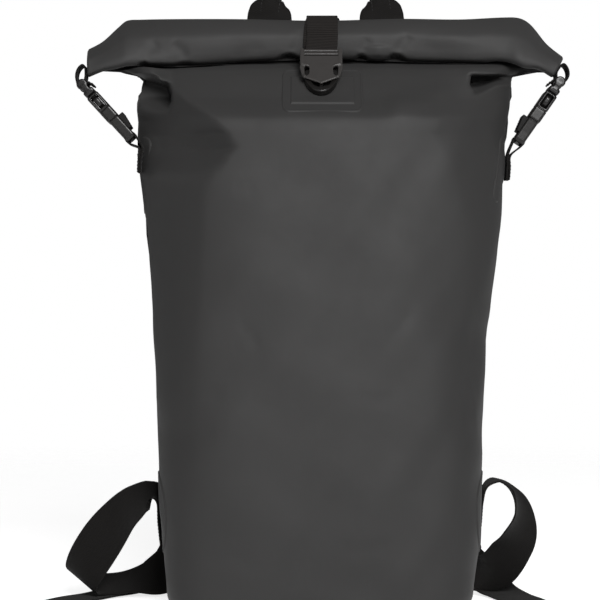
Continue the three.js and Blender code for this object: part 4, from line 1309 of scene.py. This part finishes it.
def make_handle(tree, material, thread):
    """The handle and the stitches of its fold and its sewn ends."""
    lift = 2 * SEAT + CARRY_WEB["thick"] / 2

    def leg(side):
        x, across = HANDLE["middle"] + side * HANDLE["spread"], (-side, 0, 0)

        def roof(y):
            return stop((x, y + lift * 0.5, roof_z(tree, x, y) + lift), across)

        def rise(z, inset, turn, width, thick, cup=0.0):
            angle = math.radians(turn)
            turned = (-side * math.cos(angle), math.sin(angle), 0)
            return stop((x - side * inset, HANDLE["y"], z), turned, width=width, thick=thick, cup=cup)

        folded, thick = HANDLE["folded"], HANDLE["thick"]
        return [
            roof(48),
            roof(36),
            roof(24),
            stop((x, HANDLE["y"] + 4, 453), across),
            rise(468, 0, 0, HANDLE["flat"], CARRY_WEB["thick"]),
            rise(478, 0.2, 0, 35.2, 1.8, 1.5),
            rise(483.5, 0.5, 4, 31.5, 2.4, 3),
            rise(487.5, 1, 10, 24, 3.2, 3),
            rise(491.5, 1.6, 22, folded, 4, 1.5),
            rise(501, 8, 50, folded, thick),
            rise(510, 22, 80, folded, thick),
        ]

    grip = {"width": HANDLE["folded"], "thick": HANDLE["thick"]}
    crown = stop((HANDLE["middle"], HANDLE["y"], HANDLE["top"]), (0, 1, 0), **grip)
    route = [*leg(-1), crown, *leg(1)[::-1]]
    path = make_webbing("handle_web", route, CARRY_WEB, material, "grab_handle", step=1.0, columns=18)
    last = path["length"][-1]
    lines = [web_line(path, 78, last - 78, u, face) for u in (-7.2, 7.2) for face in (1, -1)]
    up = np.sign(path["face"][5, 2])
    for start, end in ((2, 26), (last - 26, last - 2)):
        lines += [web_line(path, start, end, u, up) for u in (-16, 16)]
        lines += [web_cross(path, k, 16, up) for k in (start, end)]
    stitch_piece("handle_thread", lines, thread)


# Shoulder straps with ladder locks, and the carrying webbing from the locks to the lower sides

PADDED = {"width": 62.0, "thick": 11.0, "sewn_rows": 3}
SHOULDER = [
    # x, y, z, width, thickness; the first three rows are sewn to the back, whose depth they take
    (48, 0, 371, 56, 4),
    (48, 0, 380, 56, 4),
    (48, 0, 388, 56, 4),
    (49, 73, 403, 58, 9),
    (50, 84, 416, 60, 11),
    (52, 101, 414, 62, 11),
    (54, 113, 394, 62, 11),
    (59, 119, 330, 62, 11),
    (66, 119, 250, 62, 11),
    (71, 114, 180, 58, 10),
    (75, 107, 130, 52, 8),
    (80, 102, 100, 44, 6),
    (93, 99, 78, 40, 4),
]
LOCK = {
    "half": 23.0, "half_length": 13.0, "bar": 2.0, "opening": 9.5,
    "open_half": 20.0, "thick": 2.0, "reach": 16.0,
}
SEWN_ROWS = (50, 67, 84)
SEWN_Y = 18.0
LOOP_ROWS = {
    # place, then the direction across
    "l": [
        (-135.4, 18.5, 88.5, -0.02, -0.9, -0.43),
        (-142.5, 19.6, 87.5, 0.06, -0.8, -0.6),
        (-151.5, 23, 82, 0.2, -0.68, -0.7),
        (-164, 31, 71, 0.42, -0.52, -0.75),
        (-183.6, 42, 45.2, 0.6, -0.15, -0.79),
        (-198.5, 57, 18, 0.7, -0.53, -0.48),
        (-193, 72, 11.5, 0.5, -0.76, -0.41),
        (-163, 86, 11, 0.24, -0.9, -0.36),
        (-131, 92, 19, 0.42, -0.48, -0.77),
    ],
    "r": [
        (132.5, 18.6, 95.5, 0, 1, 0),
        (140.4, 19.8, 100.5, 0, 1, 0),
        (150.5, 22.5, 96, 0.06, 1, -0.05),
        (159.5, 29, 81, 0.3, 0.95, -0.05),
        (161.5, 40, 62, 0.6, 0.78, -0.18),
        (157.5, 54, 43, 0.76, 0.5, -0.42),
        (141.5, 71, 21.5, 0.63, 0.3, -0.71),
        (122, 88, 25, -0.1, 0, -0.98),
        (115, 93, 38, -0.6, 0, -0.75),
    ],
}
TAIL_ROWS = {
    "l": [
        (-118.5, 112, 29, 0.8, -0.15, -0.55),
        (-138, 110, 13.5, 0.75, -0.4, -0.5),
        (-160, 98, 5, 0.55, -0.83, -0.1),
        (-182, 78, 1.7, 0.62, -0.78, 0),
        (-200, 52, 1, 0.8, -0.6, 0),
        (-212, 22, 1, 0.92, -0.39, 0),
    ],
    "r": [
        (114.5, 110, 33, -0.8, -0.2, -0.5),
        (135, 107, 15, -0.78, -0.5, -0.4),
        (147, 93, 4.8, -0.82, -0.57, -0.1),
        (156, 71, 1.7, -0.92, -0.39, 0),
        (163, 45, 1, -0.96, -0.26, 0),
        (169, 14, 1, -0.98, -0.2, 0),
    ],
}
# Share of half a pad's width where its binding begins, and half the binding's thickness
BINDING = {"reach": 0.86, "thick": 1.5}


def padded_section(columns=34):
    """A pad's section as shares of half its width and thickness, pinched at its bound edges."""
    u = np.cos(np.linspace(math.pi, 0, columns))
    crown = 0.2 + 0.8 * (1 - np.clip(np.abs(u) / BINDING["reach"], 0, 1) ** 3.2) ** 0.6
    return u, crown


def make_padded(tag, rows, material, binding, thread):
    """A shoulder strap: a crowned pad with bound and stitched edges, thin where it is sewn to the back."""
    path = sweep(rows, PADDED, 2.2)
    u, crown = padded_section()
    half, thick = path["sizes"][:, None, 0] / 2, path["sizes"][:, None, 1] / 2
    swell = 1 + 0.035 * np.sin(path["length"][:, None] / 17.0) * (1 - u**2)
    top = crown * thick * swell
    points = []
    for level, order in ((-top, u), (top[:, ::-1], u[::-1])):
        aside = path["across"][:, None] * (order * half)[..., None]
        points.append(path["place"][:, None] + aside + path["face"][:, None] * level[..., None])
    grid = np.concatenate(points, axis=1)
    faces = tube_faces(*grid.shape[:2])
    pad = mesh_object("shoulder_pad_" + tag, grid.reshape(-1, 3), faces, material)
    piece(pad, "padding", "shoulder_strap_" + tag)

    points, faces, lines = [], [], []
    angles = np.radians(np.linspace(-205, 25, 15))
    for side in (-1, 1):
        width = half[:, 0] * (1 - BINDING["reach"])
        middle = path["place"] + path["across"] * (side * half[:, :1] * (BINDING["reach"] + 0.06))
        ring = []
        for a in angles - math.pi / 2:
            out = side * path["across"] * (width * 1.05 * math.cos(a + math.pi))[:, None]
            ring.append(middle + out + path["face"] * (BINDING["thick"] * 0.95 * math.sin(a + math.pi)))
        ring = np.stack(ring, axis=1)
        first = sum(len(p) for p in points)
        n = ring.shape[1]
        quads = first + ring_faces(len(ring), n)
        faces += (quads if side > 0 else quads[:, ::-1]).tolist()
        last = first + (len(ring) - 1) * n
        faces += [list(range(first, first + n)), list(range(last, last + n))[::-1]]
        points.append(ring.reshape(-1, 3))
        for face in (1, -1):
            normal = path["face"] * face
            inward = middle - path["across"] * (side * width * 0.35)[:, None]
            lines.append((inward + normal * BINDING["thick"] * 0.95, normal))
    made = mesh_object("shoulder_binding_" + tag, np.concatenate(points), faces, binding)
    piece(made, "webbing")
    stitch_piece("shoulder_thread_" + tag, lines, thread)


def lock_solid():
    """A ladder lock: a plate with two openings, a ribbed lip and round edges."""
    half, length, thick = LOCK["half"], LOCK["half_length"], LOCK["thick"]
    outline = mirrored([(half - 1.5, -length), (half, 0), (half - 1.5, length)])
    plate = slab(outline, -thick, thick, edge=1.2, corner=3.0)
    lip = bar((-half + 5, length - 1.6, 0.9), (half - 5, length - 1.6, 0.9), 1.7)
    holes = []
    for s in (1, -1):
        v0, v1 = sorted((s * LOCK["bar"], s * LOCK["opening"]))
        holes.append(block(-LOCK["open_half"], LOCK["open_half"], v0, v1, -9, 9, 0.9))
    return cut(joined(plate, lip), *holes, edge=0.9)


def make_shoulder(tag, tree, plastic, webbing, padding, binding, thread):
    """A shoulder strap, its ladder lock and the carrying webbing."""
    side = SIDES[tag]
    rows = []
    for k, (x, y, z, width, thick) in enumerate(SHOULDER):
        if k < PADDED["sewn_rows"]:
            y = back_y(tree, side * x, z) + SEAT + thick / 2
        rows.append(stop((side * x, y, z), (1, 0, 0), width=width, thick=thick))
    rows[-1]["across"] = np.array((0.78, 0, side * 0.62))
    make_padded(tag, rows, padding, binding, thread)

    end, along = rows[-1]["at"], unit(rows[-1]["at"] - rows[-2]["at"])
    on = Frame(end + along * LOCK["reach"], along, rows[-1]["across"])
    low, high = (-25, -15, -5), (25, 15, 5)
    make_moulded("lock_" + tag, lock_solid(), low, high, on, plastic, "ladder_lock_" + tag, step=0.6)

    facing = np.sign(on.n[1])
    across = on.u * (1 if tag == "l" else -1)
    hold = LOCK["half_length"] - 1.7
    tab = [(-25, -2.0), (-18, -1.9), (-hold - 1.5, -2.2), (-hold + 1.6, -2.6), (-hold + 3.2, -1.2)]
    tab += [(-hold + 3.2, 1.2), (-hold + 1.6, 2.9), (-hold - 2.5, 2.9), (-18, 2.9), (-25, 3.2)]
    route = [stop(on.point(v, n * facing), across, width=37.0) for v, n in tab]
    make_webbing("lock_tab_" + tag, route, CARRY_WEB, webbing, step=0.8)

    def at(v, n):
        return stop(on.point(v, n * facing), across)

    def sewn(z):
        x = wall_x(tree, side, SEWN_Y, z) + side * (2 * SEAT + PATCH_THICK + CARRY_WEB["thick"] / 2)
        return stop((x, SEWN_Y, z), (0, side, 0))

    def rows_of(table_rows):
        return [stop(row[:3], row[3:]) for row in table_rows]

    wrap = LOCK["bar"] + SEAT + CARRY_WEB["thick"] / 2 + 0.8
    turn = [(16, -wrap - 0.6), (6, -wrap - 0.2), (0, -wrap), (-wrap * 0.7, -wrap * 0.7), (-wrap, 0)]
    turn += [(-wrap * 0.7, wrap * 0.7), (0, wrap), (6, wrap + 0.2), (16, wrap + 1)]
    route = [sewn(z) for z in SEWN_ROWS] + rows_of(LOOP_ROWS[tag])
    route += [at(*place) for place in turn] + rows_of(TAIL_ROWS[tag])
    node = "carry_webbing_" + tag
    path = make_webbing("carry_web_" + tag, route, CARRY_WEB, webbing, node, step=1.0, columns=20)
    face = side * np.sign(path["face"][5, 0])
    lines = [web_line(path, 2, 30, u, face) for u in (-15.5, 15.5)]
    lines += [web_cross(path, k, 15.5, face) for k in (2, 16, 30)]
    last = path["length"][-1]
    lines += [web_cross(path, last - k, 17, f) for k in (5, 9) for f in (1, -1)]
    stitch_piece("carry_thread_" + tag, lines, thread)


# Materials


class Material:
    """A material whose colour, roughness and relief come from nodes, with lengths in millimetres."""

    def __init__(self, name, roughness, specular, sheen=0.0):
        self.material = bpy.data.materials.new(name)
        self.material.use_nodes = True
        self.tree = self.material.node_tree
        self.shader = self.tree.nodes["Principled BSDF"]
        self.shader.inputs["Roughness"].default_value = roughness
        self.shader.inputs["Specular IOR Level"].default_value = specular
        self.shader.inputs["Sheen Weight"].default_value = sheen
        self.shader.inputs["Sheen Roughness"].default_value = 0.5
        place = self.node("TexCoord").outputs["Object"]
        self.mm = self.node("Mapping", {}, {"Vector": place, "Scale": (1 / MM,) * 3}).outputs[0]

    def node(self, kind, settings=None, inputs=None):
        made = self.tree.nodes.new("ShaderNode" + kind)
        for name, value in (settings or {}).items():
            setattr(made, name, value)
        for name, value in (inputs or {}).items():
            if isinstance(value, bpy.types.NodeSocket):
                self.tree.links.new(value, made.inputs[name])
            else:
                made.inputs[name].default_value = value
        return made

    def math(self, operation, a, b=0.0):
        return self.node("Math", {"operation": operation}, {0: a, 1: b}).outputs[0]

    def times(self, a, b):
        return self.math("MULTIPLY", a, b)

    def noise(self, size, detail=3.0, roughness=0.5, vector=None, stretch=None):
        """Noise whose blots are about a size in millimetres, stretched if asked."""
        vector = vector or self.mm
        if stretch:
            vector = self.node("Mapping", {}, {"Vector": vector, "Scale": stretch}).outputs[0]
        inputs = {"Vector": vector, "Scale": 1 / size, "Detail": detail, "Roughness": roughness}
        return self.node("TexNoise", {}, inputs).outputs["Fac"]

    def ramp(self, value, *stops):
        """A value sent through levels, given as pairs of place and level."""
        made = self.node("ValToRGB", {}, {"Fac": value})
        points = made.color_ramp.elements
        while len(points) < len(stops):
            points.new(0.5)
        for point, (place, level) in zip(points, stops):
            point.position = place
            point.color = (*level, 1) if isinstance(level, tuple) else (level, level, level, 1)
        return made.outputs["Color"]

    def mix(self, share, a, b):
        made = self.node("Mix", {"data_type": "RGBA"}, {0: share})
        for name, value in (("A", a), ("B", b)):
            socket = [s for s in made.inputs if s.name == name and s.type == "RGBA"][0]
            if isinstance(value, bpy.types.NodeSocket):
                self.tree.links.new(value, socket)
            else:
                socket.default_value = (*value, 1)
        return [s for s in made.outputs if s.type == "RGBA"][0]

    def paint(self, colour):
        self.tree.links.new(colour, self.shader.inputs["Base Color"])

    def rough(self, low, high, value):
        inputs = {"Value": value, "To Min": low, "To Max": high}
        self.tree.links.new(self.node("MapRange", {}, inputs).outputs[0], self.shader.inputs["Roughness"])

    def relief(self, *layers):
        """Bumps on each other, each a height and how far it stands out in millimetres."""
        normal = None
        for height, stands in layers:
            inputs = {"Height": height, "Distance": stands * MM, "Strength": 1.0}
            if normal:
                inputs["Normal"] = normal
            normal = self.node("Bump", {}, inputs).outputs["Normal"]
        self.tree.links.new(normal, self.shader.inputs["Normal"])

    def edges(self, sharp=0.06):
        """Where the surface is worn along its convex edges, from 0 to 1."""
        pointy = self.node("NewGeometry").outputs["Pointiness"]
        return self.ramp(pointy, (0.5, 0.0), (0.5 + sharp, 1.0))


def coated_fabric(name, dark, light, grain):
    """Matte coated fabric: a fine pebbled grain over a plain weave, soft scuffs and worn folds."""
    made = Material(name, 0.6, 0.27, sheen=0.03)
    blots = made.noise(60, 4, 0.6)
    scuffs = made.ramp(made.noise(5, 6, 0.65, stretch=(1, 1, 0.22)), (0.55, 0.0), (0.78, 1.0))
    base = made.mix(blots, dark, light)
    worn = tuple(1.35 * c + 0.004 for c in light)
    wear = made.times(made.edges(), made.noise(7, 4))
    tone = made.mix(made.times(scuffs, 0.1), base, worn)
    made.paint(made.mix(made.times(wear, 0.5), tone, worn))
    made.rough(0.54, 0.66, made.noise(16, 4))
    inputs = {"Vector": made.mm, "Scale": 0.42, "Distortion": 0.4, "Detail": 1.0}
    threads = [made.node("TexWave", {"bands_direction": d}, inputs).outputs["Fac"] for d in ("X", "Z")]
    layers = ((made.times(*threads), 0.03), (made.noise(0.9, 2), 0.05), (made.noise(26, 3), 0.35))
    made.relief(*((height, stands * grain) for height, stands in layers))
    return made.material


# Yarns of webbing: the width of a chevron, its slant, and how closely yarns follow each other both ways
YARN = {"chevron": 3.2, "slant": 2.4, "along": 4.2, "across": 5.6}


def woven_webbing(name, dark, light, ribbed=False):
    """Webbing: slanting yarns or ribs across its length, by the band's own coordinates, with fuzz; their
    light and shade are painted.
    """
    made = Material(name, 0.7, 0.11, sheen=0.04)
    weave = made.node("UVMap", {"uv_map": "weave"}).outputs["UV"]
    parts = made.node("SeparateXYZ", {}, {"Vector": weave})
    across, along = parts.outputs["X"], parts.outputs["Y"]
    share = made.math("FRACT", made.math("DIVIDE", across, YARN["chevron"]))
    slant = made.math("ABSOLUTE", made.math("SUBTRACT", share, 0.5))
    slanted = made.math("ADD", along, made.times(slant, YARN["slant"]))
    yarn = made.math("SINE", made.times(slanted, YARN["along"]))
    rows = made.math("SINE", made.times(across, YARN["across"]))
    weave_height = made.math("ADD", made.times(yarn, 0.5), made.times(rows, 0.25))
    if ribbed:
        swell = made.math("ABSOLUTE", made.math("SINE", made.times(along, math.pi / RIB["pitch"])))
        weave_height = made.math("ADD", swell, made.times(rows, 0.05))
    low, high = (0.4, 0.95) if ribbed else (0.0, 0.6)
    # The raised yarns and rib crests are painted lighter and the hollows between them darker: painted light
    # and shade of the weave.
    painted_weave_shade = made.ramp(weave_height, (low, 0.0), (high, 1.0))
    fuzz = made.noise(3.0, 5, 0.6)
    tone = made.mix(painted_weave_shade, dark, light)
    made.paint(made.mix(made.times(fuzz, 0.35), tone, tuple(1.3 * c for c in light)))
    made.rough(0.6, 0.82, fuzz)
    made.relief((weave_height, 0.12), (made.noise(0.35, 2), 0.05))
    return made.material


def moulded_plastic(name, dark, light, rough, grain, shine=0.5):
    """Moulded plastic with a fine spark-eroded grain, paler on its rubbed edges; rough is a range."""
    made = Material(name, rough[1], shine)
    tone = made.mix(made.noise(9, 4), dark, light)
    rubbed = made.times(made.edges(0.08), made.ramp(made.noise(3, 4), (0.35, 0.3), (0.7, 1.0)))
    made.paint(made.mix(made.times(rubbed, 0.6), tone, tuple(1.9 * c for c in light)))
    made.rough(*rough, made.noise(1.6, 4))
    made.relief((made.noise(0.28, 2), grain), (made.noise(6, 2), 0.03))
    return made.material


def spacer_mesh(name, dark, light):
    """Spacer mesh on the pads: staggered holes in a knitted face."""
    made = Material(name, 0.8, 0.2, sheen=0.3)
    inputs = {"Vector": made.mm, "Scale": 0.42, "Randomness": 0.25}
    cells = made.node("TexVoronoi", {"feature": "F1"}, inputs)
    holes = made.ramp(cells.outputs["Distance"], (0.18, 0.0), (0.42, 1.0))
    tone = made.mix(holes, dark, light)
    made.paint(made.mix(made.times(made.noise(30, 3), 0.3), tone, tuple(1.3 * c for c in light)))
    made.rough(0.7, 0.9, made.noise(8, 3))
    made.relief((holes, 0.3), (made.noise(0.5, 2), 0.06))
    return made.material


def twisted_thread(name, dark, light):
    """Polyester thread with a twist."""
    made = Material(name, 0.5, 0.4, sheen=0.1)
    inputs = {"Vector": made.mm, "Scale": 1.4, "Distortion": 0.6}
    twist = made.node("TexWave", {"bands_direction": "DIAGONAL"}, inputs).outputs["Fac"]
    made.paint(made.mix(twist, dark, light))
    made.rough(0.45, 0.6, made.noise(2, 2))
    made.relief((twist, 0.05))
    return made.material


def pale_floor(name):
    """A plain pale studio floor, barely uneven, which fades into the surround away from the bag."""
    made = Material(name, 0.8, 0.2)
    made.paint(made.mix(made.noise(400, 3), (0.9, 0.9, 0.9), (0.93, 0.93, 0.93)))
    made.rough(0.7, 0.85, made.noise(60, 3))
    made.shader.inputs["Emission Color"].default_value = (1, 1, 1, 1)
    made.shader.inputs["Emission Strength"].default_value = FLOOR_GLOW
    away = made.node("VectorMath", {"operation": "LENGTH"}, {0: made.mm}).outputs["Value"]
    shown = made.ramp(made.math("DIVIDE", away, FLOOR_HALF), (0.25, 1.0), (0.95, 0.0))
    made.tree.links.new(shown, made.shader.inputs["Alpha"])
    return made.material


def grey(level, warm=0.0):
    """A grey that is a little warm."""
    return (level * (1 + warm), level, level * (1 - warm * 0.5))


# The whole bag

fabric = coated_fabric("coated_fabric", grey(0.032, 0.02), grey(0.036, 0.02), 1.0)
patch_fabric = coated_fabric("patch_fabric", grey(0.031, 0.02), grey(0.035, 0.02), 0.8)
webbing = woven_webbing("woven_webbing", grey(0.005, 0.1), grey(0.012, 0.1))
# The ribbed webbing's dark stripes between its ribs are painted shade.
ribbed = woven_webbing("ribbed_webbing", grey(0.002, 0.15), grey(0.018, 0.15), ribbed=True)
satin = moulded_plastic("satin_plastic", grey(0.033, 0.08), grey(0.041, 0.08), (0.32, 0.46), 0.014)
# A darker, glossier copy of the satin plastic for the ring, the side buckles and the ladder locks: the
# gloss is its finish, its darker colour is painted shade.
glossy_shaded = moulded_plastic("glossy_shaded_plastic", grey(0.007, 0.08), grey(0.011, 0.08), (0.24, 0.34), 0.004, 0.3)
# The grip's copy is matte and darker still: matte is its finish, its darker colour is painted shade on the
# grip.
dull = moulded_plastic("dull_shaded_plastic", grey(0.004, 0.08), grey(0.007, 0.08), (0.5, 0.65), 0.02, 0.15)
padding = spacer_mesh("spacer_mesh", grey(0.008), grey(0.024))
thread = twisted_thread("thread", grey(0.012), grey(0.024))

bag = make_bag(fabric)
for patch_name in PATCHES:
    make_patch(patch_name, bag, patch_fabric)
make_front_buckle(satin, glossy_shaded)
make_closure(bag, ribbed, thread)
make_handle(bag, webbing, thread)
for tag in SIDES:
    make_side_buckle(tag, bag, glossy_shaded, dull, webbing, thread)
    make_shoulder(tag, bag, glossy_shaded, webbing, padding, webbing, thread)


# The studio

FLOOR_HALF = 2600.0
FLOOR_GLOW = 0.75
GLOW = (0.03, 0.16)  # strength of the surround from below and from above
LIT_POINT = (0, 0, 260)
LIGHTS = {
    "key": {"at": (420, -2300, 1180), "size": (900, 900), "power": 60},
    "fill": {"at": (-1500, -1900, 700), "size": (1200, 1200), "power": 2},
    "rim_r": {"at": (1700, 700, 1100), "size": (900, 1400), "power": 2.5},
    "rim_l": {"at": (-1700, 700, 1100), "size": (900, 1400), "power": 2.5},
}


def area_light(name, place, target, size, power):
    """A large soft light that faces a point; places in millimetres."""
    data = bpy.data.lights.new(name, "AREA")
    data.shape = "RECTANGLE"
    data.size, data.size_y = (s * MM for s in size)
    data.energy = power
    made = bpy.data.objects.new(name, data)
    place, target = Vector(place) * MM, Vector(target) * MM
    made.location = place
    made.rotation_euler = (target - place).to_track_quat("-Z", "Y").to_euler()
    bpy.context.scene.collection.objects.link(made)


def make_world():
    """A white surround that gives a weak glow from above and little from below."""
    world = bpy.data.worlds.new("studio")
    world.use_nodes = True
    nodes, links = world.node_tree.nodes, world.node_tree.links
    kinds = ("Background", "Background", "MixShader", "LightPath", "TexCoord", "SeparateXYZ", "MapRange")
    shown, glow, mixed, path, place, parts, levels = (nodes.new("ShaderNode" + kind) for kind in kinds)
    for node in (shown, glow):
        node.inputs["Color"].default_value = (1, 1, 1, 1)
    links.new(place.outputs["Generated"], parts.inputs[0])
    links.new(parts.outputs["Z"], levels.inputs["Value"])
    levels.inputs["From Min"].default_value = -0.35
    levels.inputs["To Min"].default_value, levels.inputs["To Max"].default_value = GLOW
    links.new(levels.outputs[0], glow.inputs["Strength"])
    links.new(path.outputs["Is Camera Ray"], mixed.inputs[0])
    links.new(glow.outputs[0], mixed.inputs[1])
    links.new(shown.outputs[0], mixed.inputs[2])
    links.new(mixed.outputs[0], nodes["World Output"].inputs["Surface"])
    bpy.context.scene.world = world


def make_studio():
    """Floor, lights, a white surround and the camera."""
    scene = bpy.context.scene
    corners = [(sx * FLOOR_HALF, sy * FLOOR_HALF, -0.4) for sx, sy in ((-1, -1), (1, -1), (1, 1), (-1, 1))]
    floor = mesh_object("floor", corners, [[0, 1, 2, 3]], pale_floor("pale_floor"), flat=True)
    floor.visible_diffuse = False
    for name, row in LIGHTS.items():
        area_light(name, row["at"], LIT_POINT, row["size"], row["power"])
    make_world()
    scene.view_settings.view_transform = "Standard"
    data = bpy.data.cameras.new("view")
    data.sensor_width = 36.0
    data.lens = FOCAL_PX / FRAME_PX * data.sensor_width
    data.clip_end = 50
    camera = bpy.data.objects.new("view", data)
    camera.location = [CAMERA[k] * MM for k in "xyz"]
    camera.rotation_euler = (math.pi / 2, 0, 0)
    scene.collection.objects.link(camera)
    scene.camera = camera


make_studio()
